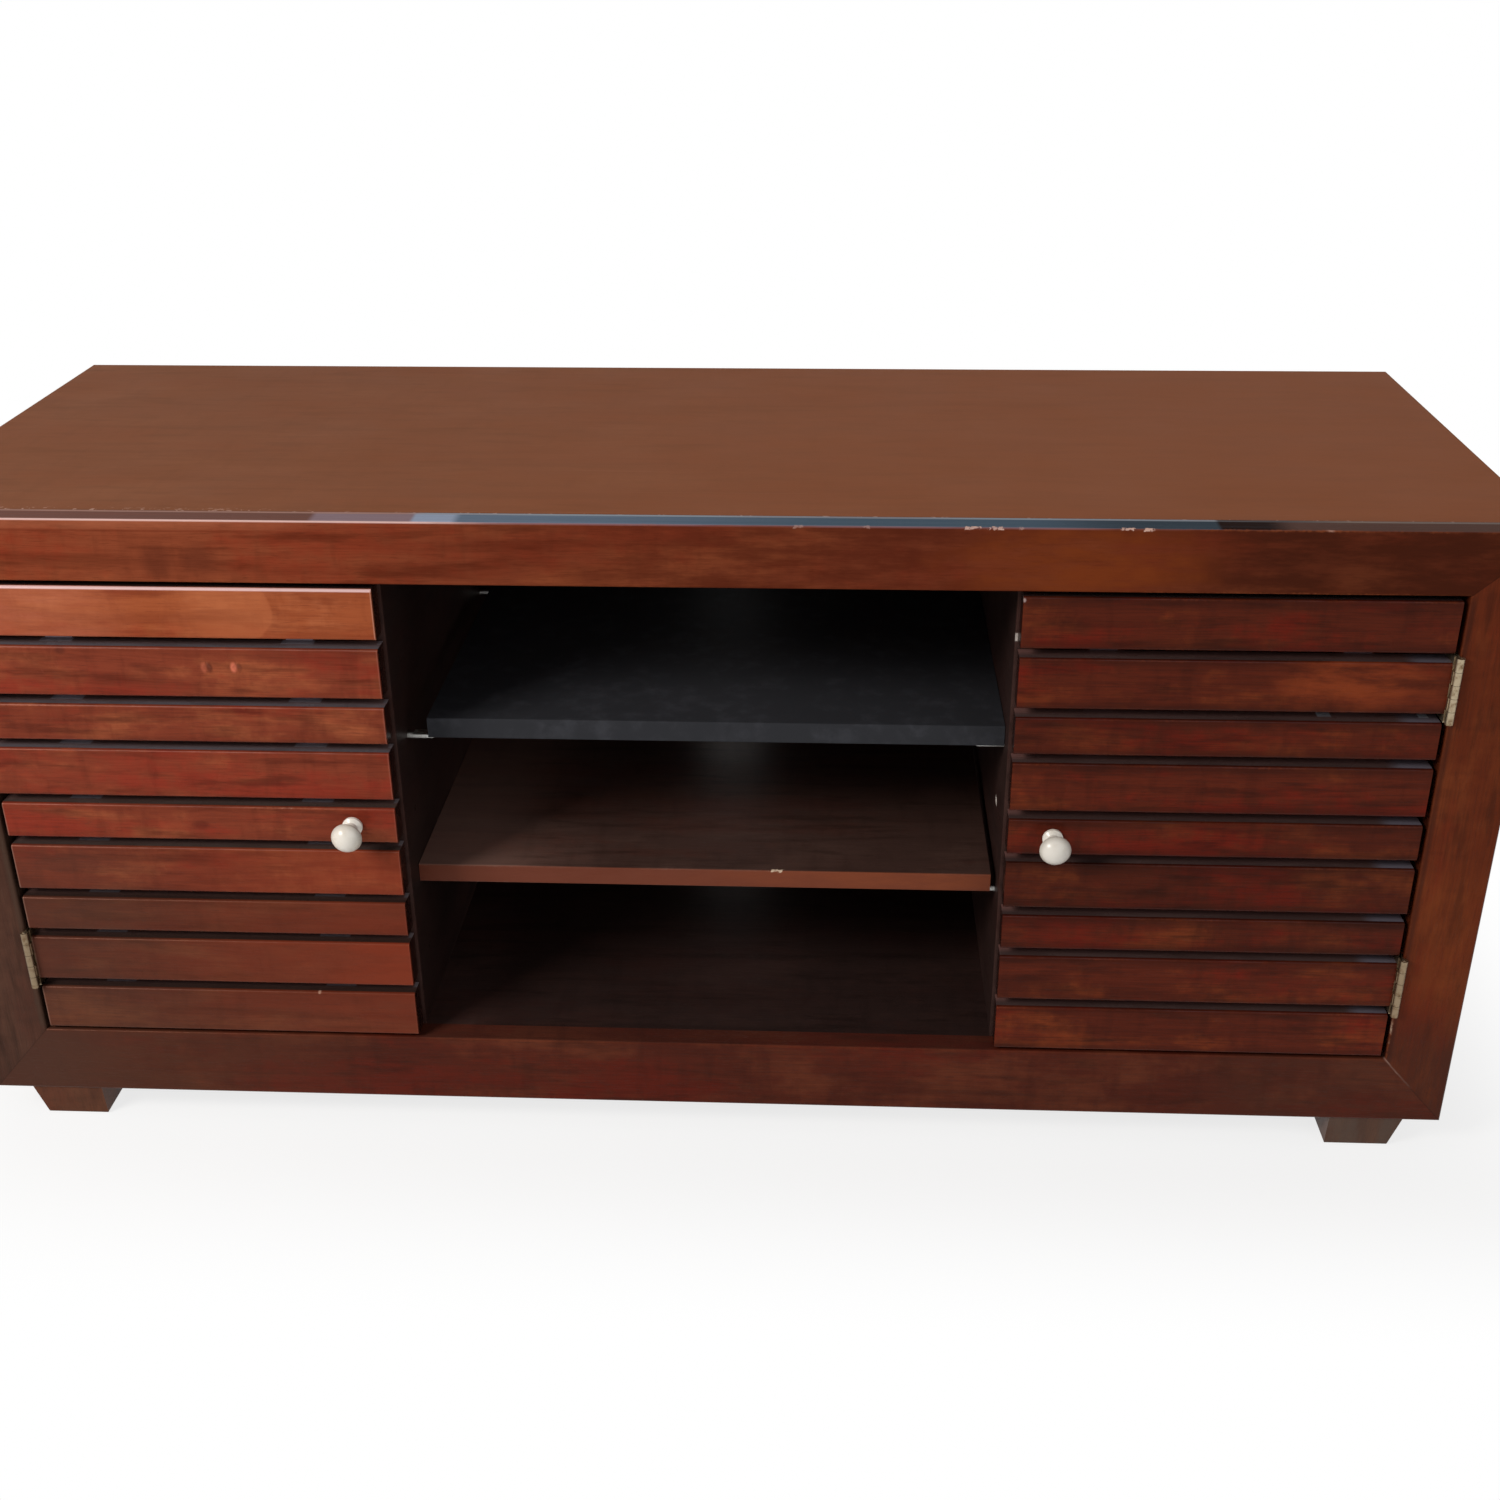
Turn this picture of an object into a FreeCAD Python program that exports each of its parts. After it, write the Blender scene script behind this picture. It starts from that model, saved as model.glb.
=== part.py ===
import FreeCAD, Part
import math
import os

# TV cabinet: a mitred face frame holds two slatted doors, with open shelves between them.
# Units are millimetres. +X runs to the right of someone who faces the doors, +Y runs from
# the front to the back, and +Z is up. The origin is on the floor, in the middle of the
# whole footprint, which the knobs extend at the front.

# Whole carcass, without feet
BODY_W = 1200.0
BODY_D = 440.0
BODY_H = 505.0

# Face frame
FRAME_T = 20.0
STILE_W = 53.0
TOP_RAIL_W = 48.0
BOTTOM_RAIL_W = 60.0
FRAME_EASE = 2.0

# Boards and panels
TOP_T = 20.0
TOP_EASE = 2.0
PANEL_T = 18.0
PARTITION_T = 20.0
BAY_W = 466.0
BACK_T = 6.0
BACK_LAP = 9.0
BACK_RECESS = 1.0
REAR_RAIL_T = 18.0
CABLE_HOLE_R = 30.0

# Corner blocks and feet
BLOCK_W = 60.0
BLOCK_CHAMFER = 24.0
FOOT_H = 30.0
FOOT_W = 59.0
FOOT_SIDE_INSET = 29.0
FOOT_FRONT_INSET = 2.0
FOOT_SIDE_TAPER = 8.0
FOOT_FRONT_TAPER = 4.0
FOOT_EASE = 2.0

# Shelves and the holes for their supports
UPPER_SHELF_PLAY = 19.0
UPPER_SHELF_T = 17.0
LOWER_SHELF_PLAY = 5.0
LOWER_SHELF_T = 16.0
DOOR_SHELF_T = 16.0
SHELF_FIT = 0.5
SHELF_EASE = 1.2
SHELF_BACK_GAP = 22.0
SUPPORT_FRONT_INSET = 55.0
SUPPORT_BACK_INSET = 70.0
SHELF_OVERHANG = 10.0
SUPPORT_FIRST_Z = 55.0
SUPPORT_SPACING = 65.0

# What each row of support holes carries, from the lowest row up
SPARE = "nothing"
LOWER_SHELF = "lower centre shelf"
DOOR_SHELF = "shelf behind a door"
UPPER_SHELF = "upper centre shelf"
SUPPORT_ROWS = (SPARE, LOWER_SHELF, DOOR_SHELF, UPPER_SHELF, SPARE)

# One shelf support: a round stem with a flat tongue
STEM_R = 2.5
STEM_DEPTH = 8.0
STEM_FIT = 0.15
TONGUE_REACH = 24.0
TONGUE_START = 5.0
TONGUE_W = 9.0
TONGUE_T = 2.5

# Doors
DOOR_SIDE_GAP = 4.0
DOOR_TOP_GAP = 4.0
DOOR_BOTTOM_GAP = 2.5
DOOR_LAP = 18.0
SLAT_T = 18.0
SLAT_GAP = 7.5
SLAT_EASE = 2.5
NARROW_SLAT_SHARE = 0.75
SLAT_PATTERN_SHARES = (
    1, 1, NARROW_SLAT_SHARE, 1, NARROW_SLAT_SHARE, 1, NARROW_SLAT_SHARE, 1, 1,
)
HINGED_SLATS = (2, 8)
KNOB_SLAT = 5
BATTEN_W = 23.0
BATTEN_T = 18.0
BATTEN_END_INSET = 51.0
BATTEN_TOP_INSET = 4.0

# Knobs: a collar, a waist and a domed head
KNOB_END_INSET = 33.7
KNOB_REACH = 28.0
KNOB_COLLAR_R = 7.8
KNOB_COLLAR_T = 2.2
KNOB_SHOULDER_T = 2.4
KNOB_WAIST_R = 5.2
KNOB_WAIST_REACH = 8.0
KNOB_HEAD_R = 11.8
KNOB_RIM_REACH = 18.5
KNOB_RIM_T = 1.6
KNOB_BORE_DEPTH = 12.0

# Butt hinges
LEAF_H = 52.0
LEAF_D = 17.3
LEAF_T = 1.5
BARREL_R = 3.0
BARREL_FACE_GAP = 0.15
AXIS_INSET = 0.5
KNUCKLES = 5
KNUCKLE_GAP = 0.3
HINGE_PIN_R = 1.25
HINGE_PIN_FIT = 0.08

# Magnetic catches
CATCH_W = 13.0
CATCH_D = 17.0
CATCH_H = 26.0
CATCH_FLANGE_T = 2.5
CATCH_FLANGE_H = 38.0
CATCH_EASE = 1.5
CATCH_AIR = 0.3
POLE_T = 1.2
POLE_REACH = 1.2
STRIKE_W = 12.0
STRIKE_H = 26.0
STRIKE_T = 1.2

# Knob screws
KNOB_SCREW_HEAD_R = 4.0
KNOB_SCREW_HEAD_H = 2.0
KNOB_SCREW_R = 2.0
SCREW_FIT = 0.1

# Every cutting tool runs past the face that it cuts by this much
OVERRUN = 2.0
# Two coordinates closer than this are the same
SAME = 0.001

# Planes that the pieces share
HALF_W = BODY_W / 2
FRONT_Y = (KNOB_REACH - BODY_D) / 2
FRAME_BACK_Y = FRONT_Y + FRAME_T
BACK_Y = FRONT_Y + BODY_D
BACK_PANEL_Y = BACK_Y - BACK_RECESS - BACK_T
BASE_Z = FOOT_H
TOP_Z = BASE_Z + BODY_H
UNDER_TOP_Z = TOP_Z - TOP_T
OPENING_X = HALF_W - STILE_W
OPENING_BOTTOM_Z = BASE_Z + BOTTOM_RAIL_W
OPENING_TOP_Z = TOP_Z - TOP_RAIL_W
FLOOR_UNDER_Z = OPENING_BOTTOM_Z - PANEL_T
SIDE_IN_X = HALF_W - PANEL_T
BAY_X = BAY_W / 2
PARTITION_OUT_X = BAY_X + PARTITION_T
SUPPORT_FRONT_Y = FRONT_Y + SUPPORT_FRONT_INSET
SUPPORT_BACK_Y = BACK_PANEL_Y - SUPPORT_BACK_INSET
SUPPORT_YS = (SUPPORT_FRONT_Y, SUPPORT_BACK_Y)

# Planes of the right-hand door; the left-hand door mirrors it
DOOR_HINGE_X = OPENING_X - DOOR_SIDE_GAP
DOOR_END_X = PARTITION_OUT_X - DOOR_LAP
DOOR_BOTTOM_Z = OPENING_BOTTOM_Z + DOOR_BOTTOM_GAP
DOOR_TOP_Z = OPENING_TOP_Z - DOOR_TOP_GAP
SLAT_BACK_Y = FRONT_Y + SLAT_T
BATTEN_BACK_Y = SLAT_BACK_Y + BATTEN_T
BATTEN_XS = (
    DOOR_END_X + BATTEN_END_INSET + BATTEN_W / 2,
    DOOR_HINGE_X - BATTEN_END_INSET - BATTEN_W / 2,
)
KNOB_X = DOOR_END_X + KNOB_END_INSET

# The hinge axis stands in front of the face, close to the edge of the stile
AXIS_X = OPENING_X - AXIS_INSET
AXIS_Y = FRONT_Y - BARREL_R - BARREL_FACE_GAP

LEFT = "left"
RIGHT = "right"
X, Y, Z = range(3)


def vec(x, y, z):
    """Return a vector."""
    return FreeCAD.Vector(x, y, z)


def box(x0, x1, y0, y1, z0, z1):
    """Return a box between two opposite corners."""
    return Part.makeBox(x1 - x0, y1 - y0, z1 - z0, vec(x0, y0, z0))


def rod(radius, start, direction, length):
    """Return a cylinder that starts at a point and runs along a direction."""
    return Part.makeCylinder(radius, length, start, direction)


def mirrored(shape):
    """Return the left-hand twin of a right-hand piece."""
    return shape.mirror(vec(0, 0, 0), vec(1, 0, 0))


def moved(shape, x, y, z):
    """Return a copy of a shape, moved."""
    copy = shape.copy()
    copy.translate(vec(x, y, z))
    return copy


def aimed(shape, place, direction):
    """Return a copy of a shape whose +Z axis is turned to a direction, moved to a place."""
    copy = shape.copy()
    copy.Placement = FreeCAD.Placement(place, FreeCAD.Rotation(vec(0, 0, 1), direction))
    return copy


def edges_in_planes(shape, *planes):
    """Return the edges that lie in all the given planes, each an axis index and a value."""
    found = []
    for edge in shape.Edges:
        ends = [vertex.Point for vertex in edge.Vertexes]
        if all(abs(end[axis] - value) < SAME for end in ends for axis, value in planes):
            found.append(edge)
    return found


def eased(shape, radius, edges):
    """Round some edges of a shape."""
    return shape.makeFillet(radius, edges)


def drilled(shape, tools):
    """Cut a list of tools from a shape, and return it as one solid."""
    return shape.cut(Part.makeCompound(tools)).Solids[0]


def save(name, shape):
    """Write one piece, or a group of like fasteners, under its node's name."""
    shape.exportStep("parts/" + name + ".step")


def save_pair(name, shape):
    """Write a right-hand piece and its mirrored left-hand twin."""
    save(name + "_" + RIGHT, shape)
    save(name + "_" + LEFT, mirrored(shape))


def knob_screw(fit):
    """Return the machine screw that holds the right-hand knob, or the tool for its hole."""
    head = rod(KNOB_SCREW_HEAD_R + fit, vec(0, 0, -KNOB_SCREW_HEAD_H), vec(0, 0, 1), KNOB_SCREW_HEAD_H)
    length = SLAT_T + KNOB_BORE_DEPTH - KNOB_SCREW_R
    shank = rod(KNOB_SCREW_R + fit, vec(0, 0, 0), vec(0, 0, 1), length + fit)
    return aimed(head.fuse(shank), vec(KNOB_X, SLAT_BACK_Y, knob_z()), vec(0, -1, 0))


# Slat layout, numbered from the top

def slat_heights():
    """Return the height of each slat: they share what the gaps leave of the door."""
    gaps = SLAT_GAP * (len(SLAT_PATTERN_SHARES) - 1)
    wide = (DOOR_TOP_Z - DOOR_BOTTOM_Z - gaps) / sum(SLAT_PATTERN_SHARES)
    return [wide * share for share in SLAT_PATTERN_SHARES]


def slat_spans():
    """Return the bottom and top of each slat, from the top slat down."""
    spans = []
    top = DOOR_TOP_Z
    for height in slat_heights():
        spans.append((top - height, top))
        top -= height + SLAT_GAP
    return spans


def slat_middle(number):
    """Return the height of the middle of a slat."""
    bottom, top = slat_spans()[number - 1]
    return (bottom + top) / 2


def knob_z():
    """Return the height of the knobs."""
    return slat_middle(KNOB_SLAT)


# Carcass

def frame_member(corners, across):
    """Return a mitred piece of the face frame from its four corners in the front plane.

    The first two corners are on the outer edge, the other two on the inner edge, and
    across is the axis on which those two edges lie apart.
    """
    points = [vec(x, FRONT_Y, z) for x, z in corners]
    face = Part.Face(Part.makePolygon(points + points[:1]))
    piece = face.extrude(vec(0, FRAME_T, 0))
    outer = points[0][across]
    inner = points[-1][across]
    edges = edges_in_planes(piece, (Y, FRONT_Y), (across, outer))
    edges += edges_in_planes(piece, (Y, FRONT_Y), (across, inner))
    return eased(piece, FRAME_EASE, edges)


def top_rail():
    """Return the top rail of the face frame."""
    return frame_member([
        (-HALF_W, TOP_Z),
        (HALF_W, TOP_Z),
        (OPENING_X, OPENING_TOP_Z),
        (-OPENING_X, OPENING_TOP_Z),
    ], Z)


def bottom_rail():
    """Return the bottom rail of the face frame."""
    return frame_member([
        (-HALF_W, BASE_Z),
        (HALF_W, BASE_Z),
        (OPENING_X, OPENING_BOTTOM_Z),
        (-OPENING_X, OPENING_BOTTOM_Z),
    ], Z)


def stile():
    """Return the right-hand stile of the face frame."""
    return frame_member([
        (HALF_W, BASE_Z),
        (HALF_W, TOP_Z),
        (OPENING_X, OPENING_TOP_Z),
        (OPENING_X, OPENING_BOTTOM_Z),
    ], X)


def top_board():
    """Return the top board, with its side and rear edges eased."""
    piece = box(-HALF_W, HALF_W, FRAME_BACK_Y, BACK_Y, UNDER_TOP_Z, TOP_Z)
    edges = edges_in_planes(piece, (Z, TOP_Z), (X, HALF_W))
    edges += edges_in_planes(piece, (Z, TOP_Z), (X, -HALF_W))
    edges += edges_in_planes(piece, (Z, TOP_Z), (Y, BACK_Y))
    return eased(piece, TOP_EASE, edges)


def bottom_board():
    """Return the floor of the three bays."""
    return box(-SIDE_IN_X, SIDE_IN_X, FRAME_BACK_Y, BACK_PANEL_Y, FLOOR_UNDER_Z, OPENING_BOTTOM_Z)


def support_zs():
    """Return the heights of the rows of support holes, from the lowest up."""
    first = OPENING_BOTTOM_Z + SUPPORT_FIRST_Z
    return [first + row * SUPPORT_SPACING for row in range(len(SUPPORT_ROWS))]


def support_z(shelf_name):
    """Return the height of the row of holes that carries a shelf."""
    return support_zs()[SUPPORT_ROWS.index(shelf_name)]


def side_zs():
    """Return the heights of the side panels' holes: the rows near the shelf behind the door."""
    return [z for z in support_zs() if abs(z - support_z(DOOR_SHELF)) < SUPPORT_SPACING + SAME]


def support_holes(x, reach, zs):
    """Return the tools for the support holes that start at a place in X and run along it."""
    direction = vec(1, 0, 0)
    return [rod(STEM_R + STEM_FIT, vec(x, y, z), direction, reach) for y in SUPPORT_YS for z in zs]


def side_panel():
    """Return the right-hand side, with its rebate for the back panel and its support holes."""
    piece = box(SIDE_IN_X, HALF_W, FRAME_BACK_Y, BACK_Y, BASE_Z, UNDER_TOP_Z)
    rebate = box(SIDE_IN_X - OVERRUN, SIDE_IN_X + BACK_LAP, BACK_PANEL_Y, BACK_Y + OVERRUN,
                 BASE_Z - OVERRUN, UNDER_TOP_Z + OVERRUN)
    holes = support_holes(SIDE_IN_X - OVERRUN, OVERRUN + STEM_DEPTH + STEM_FIT, side_zs())
    return drilled(drilled(piece, [rebate]), holes)


def partition():
    """Return the right-hand partition; its support holes run through, to serve both bays."""
    piece = box(BAY_X, PARTITION_OUT_X, FRAME_BACK_Y, BACK_PANEL_Y, OPENING_BOTTOM_Z, UNDER_TOP_Z)
    return drilled(piece, support_holes(BAY_X - OVERRUN, PARTITION_T + 2 * OVERRUN, support_zs()))


def bay_spans():
    """Return the bottom and top of the three centre bays."""
    lower = shelf_bottom(LOWER_SHELF)
    upper = shelf_bottom(UPPER_SHELF)
    return [
        (OPENING_BOTTOM_Z, lower),
        (lower + LOWER_SHELF_T, upper),
        (upper + UPPER_SHELF_T, UNDER_TOP_Z),
    ]


def back_panel():
    """Return the back panel, with a cable hole behind each centre bay."""
    half = SIDE_IN_X + BACK_LAP
    piece = box(-half, half, BACK_PANEL_Y, BACK_PANEL_Y + BACK_T, BASE_Z, UNDER_TOP_Z)
    holes = []
    for bottom, top in bay_spans():
        start = vec(0, BACK_PANEL_Y - OVERRUN, (bottom + top) / 2)
        holes.append(rod(CABLE_HOLE_R, start, vec(0, 1, 0), BACK_T + 2 * OVERRUN))
    return drilled(piece, holes)


def rear_rail():
    """Return the rail under the floor that the back panel and the rear feet meet."""
    return box(-SIDE_IN_X, SIDE_IN_X, BACK_PANEL_Y - REAR_RAIL_T, BACK_PANEL_Y, BASE_Z, FLOOR_UNDER_Z)


def corner_block(y0, y1):
    """Return a glue block over a right-hand foot, its free corner cut off."""
    free_x = SIDE_IN_X - BLOCK_W
    piece = box(free_x, SIDE_IN_X, y0, y1, BASE_Z, FLOOR_UNDER_Z)
    free_y = y1 if y0 == FRAME_BACK_Y else y0
    corner = edges_in_planes(piece, (X, free_x), (Y, free_y))
    return piece.makeChamfer(BLOCK_CHAMFER, corner)


def corner_blocks():
    """Return all four corner blocks."""
    rear_y = BACK_PANEL_Y - REAR_RAIL_T
    blocks = [
        corner_block(FRAME_BACK_Y, FRAME_BACK_Y + BLOCK_W),
        corner_block(rear_y - BLOCK_W, rear_y),
    ]
    return Part.makeCompound(blocks + [mirrored(block) for block in blocks])


def foot(outer_y, inner_y):
    """Return a right-hand foot, tapered on its outer side and on its front or rear face."""
    inner_x = HALF_W - FOOT_SIDE_INSET - FOOT_W
    outer_x = HALF_W - FOOT_SIDE_INSET
    inward = FOOT_FRONT_TAPER if inner_y > outer_y else -FOOT_FRONT_TAPER
    sections = []
    for z, taper, shift in ((0, FOOT_SIDE_TAPER, inward), (FOOT_H, 0, 0)):
        points = [
            vec(inner_x, outer_y + shift, z),
            vec(outer_x - taper, outer_y + shift, z),
            vec(outer_x - taper, inner_y, z),
            vec(inner_x, inner_y, z),
        ]
        sections.append(Part.makePolygon(points + points[:1]))
    piece = Part.makeLoft(sections, True, True)
    bottom = edges_in_planes(piece, (Z, 0))
    return eased(piece, FOOT_EASE, bottom)


def front_foot():
    """Return the right-hand front foot."""
    outer_y = FRONT_Y + FOOT_FRONT_INSET
    return foot(outer_y, outer_y + FOOT_W)


def rear_foot():
    """Return the right-hand rear foot."""
    outer_y = BACK_Y - FOOT_FRONT_INSET
    return foot(outer_y, outer_y - FOOT_W)


# Shelves and their supports

def shelf_bottom(name):
    """Return the height of the underside of a shelf on its supports."""
    return support_z(name) + STEM_R


def shelf(x0, x1, thickness, name):
    """Return a shelf between two places in X, its front edges eased."""
    front = SUPPORT_FRONT_Y - SHELF_OVERHANG
    back = BACK_PANEL_Y - SHELF_BACK_GAP
    bottom = shelf_bottom(name)
    piece = box(x0, x1, front, back, bottom, bottom + thickness)
    edges = edges_in_planes(piece, (Y, front), (Z, bottom))
    edges += edges_in_planes(piece, (Y, front), (Z, bottom + thickness))
    return eased(piece, SHELF_EASE, edges)


def upper_shelf():
    """Return the upper centre shelf, pushed over to the right-hand partition."""
    right = BAY_X - SHELF_FIT
    return shelf(right - BAY_W + UPPER_SHELF_PLAY, right, UPPER_SHELF_T, UPPER_SHELF)


def lower_shelf():
    """Return the lower centre shelf, pushed over to the left-hand partition."""
    left = SHELF_FIT - BAY_X
    return shelf(left, left + BAY_W - LOWER_SHELF_PLAY, LOWER_SHELF_T, LOWER_SHELF)


def door_shelf():
    """Return the shelf behind the right-hand door."""
    return shelf(PARTITION_OUT_X + SHELF_FIT, SIDE_IN_X - SHELF_FIT, DOOR_SHELF_T, DOOR_SHELF)


def support_form():
    """Return one support at the origin, its stem in a wall that faces +X."""
    length = STEM_DEPTH + TONGUE_REACH - TONGUE_W / 2
    stem = rod(STEM_R, vec(-STEM_DEPTH, 0, 0), vec(1, 0, 0), length)
    tongue = box(TONGUE_START, TONGUE_REACH, -TONGUE_W / 2, TONGUE_W / 2, STEM_R - TONGUE_T, STEM_R)
    tip = edges_in_planes(tongue, (X, TONGUE_REACH), (Y, -TONGUE_W / 2))
    tip += edges_in_planes(tongue, (X, TONGUE_REACH), (Y, TONGUE_W / 2))
    return stem.fuse(tongue.makeChamfer(TONGUE_W / 3, tip)).removeSplitter()


def shelf_supports():
    """Return the sixteen supports, four under each shelf."""
    form = support_form()
    turned = form.copy()
    turned.rotate(vec(0, 0, 0), vec(0, 0, 1), 180)
    walls = [
        (-BAY_X, form, LOWER_SHELF),
        (BAY_X, turned, LOWER_SHELF),
        (-BAY_X, form, UPPER_SHELF),
        (BAY_X, turned, UPPER_SHELF),
        (PARTITION_OUT_X, form, DOOR_SHELF),
        (SIDE_IN_X, turned, DOOR_SHELF),
        (-PARTITION_OUT_X, turned, DOOR_SHELF),
        (-SIDE_IN_X, form, DOOR_SHELF),
    ]
    return Part.makeCompound([
        moved(piece, x, y, support_z(name)) for x, piece, name in walls for y in SUPPORT_YS
    ])


# Doors

def slat(number):
    """Return a slat of the right-hand door, its two long front edges eased."""
    bottom, top = slat_spans()[number - 1]
    piece = box(DOOR_END_X, DOOR_HINGE_X, FRONT_Y, SLAT_BACK_Y, bottom, top)
    edges = edges_in_planes(piece, (Y, FRONT_Y), (Z, bottom))
    edges += edges_in_planes(piece, (Y, FRONT_Y), (Z, top))
    piece = eased(piece, SLAT_EASE, edges)
    if number == KNOB_SLAT:
        piece = drilled(piece, [knob_screw(SCREW_FIT)])
    return piece


def batten(x):
    """Return a vertical batten that carries the slats."""
    return box(x - BATTEN_W / 2, x + BATTEN_W / 2, SLAT_BACK_Y, BATTEN_BACK_Y,
               DOOR_BOTTOM_Z + BATTEN_TOP_INSET, DOOR_TOP_Z - BATTEN_TOP_INSET)


def dome_point(share):
    """Return a point of the knob's dome, a share of the way round from its rim to its crown."""
    rise = KNOB_REACH - KNOB_RIM_REACH - KNOB_RIM_T
    radius = (KNOB_HEAD_R ** 2 + rise ** 2) / (2 * rise)
    angle = math.asin(KNOB_HEAD_R / radius) * (1 - share)
    return vec(radius * math.sin(angle), radius * (1 - math.cos(angle)) - KNOB_REACH, 0)


def knob():
    """Return the right-hand knob: a collar, a waist and a domed head, turned about its axis."""
    centre = vec(0, 0, 0)
    waist = vec(KNOB_WAIST_R, -KNOB_WAIST_REACH, 0)
    rim = vec(KNOB_HEAD_R, -KNOB_RIM_REACH, 0)
    flare_middle = vec(
        (KNOB_HEAD_R + 2 * KNOB_WAIST_R) / 3,
        -(KNOB_WAIST_REACH + KNOB_RIM_REACH) / 2,
        0,
    )
    turned = [
        centre,
        vec(KNOB_COLLAR_R, 0, 0),
        vec(KNOB_COLLAR_R, -KNOB_COLLAR_T, 0),
        vec(KNOB_WAIST_R, -KNOB_COLLAR_T - KNOB_SHOULDER_T, 0),
        waist,
    ]
    edges = [Part.LineSegment(a, b).toShape() for a, b in zip(turned, turned[1:])]
    edges.append(Part.Arc(waist, flare_middle, rim).toShape())
    edges.append(Part.LineSegment(rim, dome_point(0)).toShape())
    edges.append(Part.Arc(dome_point(0), dome_point(1 / 2), dome_point(1)).toShape())
    edges.append(Part.LineSegment(dome_point(1), centre).toShape())
    solid = Part.Face(Part.Wire(edges)).revolve(centre, vec(0, 1, 0), 360)
    return drilled(moved(solid, KNOB_X, FRONT_Y, knob_z()), [knob_screw(SCREW_FIT)])


# Hinges, drawn with the pin's axis on Z and the lower end of the barrel at zero

def knuckle_spans(first):
    """Return the ends of every second knuckle, counted from the first or the second one."""
    step = LEAF_H / KNUCKLES
    spans = []
    for index in range(first, KNUCKLES, 2):
        low = index * step if index == 0 else index * step + KNUCKLE_GAP / 2
        high = LEAF_H if index == KNUCKLES - 1 else (index + 1) * step - KNUCKLE_GAP / 2
        spans.append((low, high))
    return spans


def leaf(side, first):
    """Return one hinge leaf, its plate on the +X side for 1 or on the -X side for -1."""
    plate_y = BARREL_R + BARREL_FACE_GAP
    held_x = AXIS_INSET if side > 0 else AXIS_INSET - DOOR_SIDE_GAP
    xs = sorted((held_x, held_x - side * LEAF_T))
    shape = box(xs[0], xs[1], plate_y, plate_y + LEAF_D, 0, LEAF_H)
    for low, high in knuckle_spans(first):
        barrel = rod(BARREL_R, vec(0, 0, low), vec(0, 0, 1), high - low)
        neck = box(xs[0], xs[1], 0, plate_y, low, high)
        shape = shape.fuse(barrel).fuse(neck)
    bore = rod(HINGE_PIN_R + HINGE_PIN_FIT, vec(0, 0, -OVERRUN), vec(0, 0, 1), LEAF_H + 2 * OVERRUN)
    return drilled(shape.removeSplitter(), [bore])


def hinge_pin():
    """Return the pin of one hinge."""
    return rod(HINGE_PIN_R, vec(0, 0, 0), vec(0, 0, 1), LEAF_H)


def hinge_places():
    """Return the lower ends of the right-hand hinge barrels."""
    return [(AXIS_X, AXIS_Y, slat_middle(number) - LEAF_H / 2) for number in HINGED_SLATS]


def frame_leaves():
    """Return the two leaves on the right-hand stile."""
    return Part.makeCompound([moved(leaf(1, 0), *place) for place in hinge_places()])


def door_leaves():
    """Return the two leaves on the right-hand door."""
    return Part.makeCompound([moved(leaf(-1, 1), *place) for place in hinge_places()])


# Catches

def catch_y():
    """Return the front of the magnet, just behind the strike plate."""
    return SLAT_BACK_Y + STRIKE_T + CATCH_AIR


def catch():
    """Return the catch on the right-hand partition: a flange, a housing and two pole plates."""
    z = slat_middle(1)
    front = catch_y() + POLE_REACH
    back = front + CATCH_D
    flange = box(PARTITION_OUT_X, PARTITION_OUT_X + CATCH_FLANGE_T, front, back,
                 z - CATCH_FLANGE_H / 2, z + CATCH_FLANGE_H / 2)
    outer_x = PARTITION_OUT_X + CATCH_W
    housing = box(PARTITION_OUT_X, outer_x, front, back, z - CATCH_H / 2, z + CATCH_H / 2)
    housing = eased(housing, CATCH_EASE, edges_in_planes(housing, (X, outer_x)))
    shape = flange.fuse(housing)
    middle_x = PARTITION_OUT_X + (CATCH_W + CATCH_FLANGE_T) / 2
    for side in (-1, 1):
        x = middle_x + side * CATCH_W / 4
        pole = box(x - POLE_T / 2, x + POLE_T / 2, catch_y(), front,
                   z - CATCH_H / 3, z + CATCH_H / 3)
        shape = shape.fuse(pole)
    return shape.removeSplitter().Solids[0]


def strike_plate():
    """Return the steel plate on the back of the right-hand door's top slat."""
    x = PARTITION_OUT_X + (CATCH_W + CATCH_FLANGE_T) / 2
    z = slat_middle(1)
    return box(x - STRIKE_W / 2, x + STRIKE_W / 2, SLAT_BACK_Y, SLAT_BACK_Y + STRIKE_T,
               z - STRIKE_H / 2, z + STRIKE_H / 2)


def both_sides(shapes):
    """Return a group of right-hand pieces together with their left-hand twins."""
    return Part.makeCompound(shapes + [mirrored(shape) for shape in shapes])


def save_carcass():
    """Write every piece that stands still."""
    save("top_board", top_board())
    save("bottom_board", bottom_board())
    save_pair("side_panel", side_panel())
    save_pair("partition", partition())
    save("back_panel", back_panel())
    save("rear_rail", rear_rail())
    save("frame_rail_top", top_rail())
    save("frame_rail_bottom", bottom_rail())
    save_pair("frame_stile", stile())
    save("corner_blocks", corner_blocks())
    save_pair("foot_front", front_foot())
    save_pair("foot_rear", rear_foot())
    save("shelf_upper", upper_shelf())
    save("shelf_lower", lower_shelf())
    save_pair("shelf_behind_door", door_shelf())
    save("shelf_supports", shelf_supports())
    save_pair("hinge_frame_leaves", frame_leaves())
    save("hinge_pins", both_sides([moved(hinge_pin(), *place) for place in hinge_places()]))
    save_pair("catch", catch())


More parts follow.
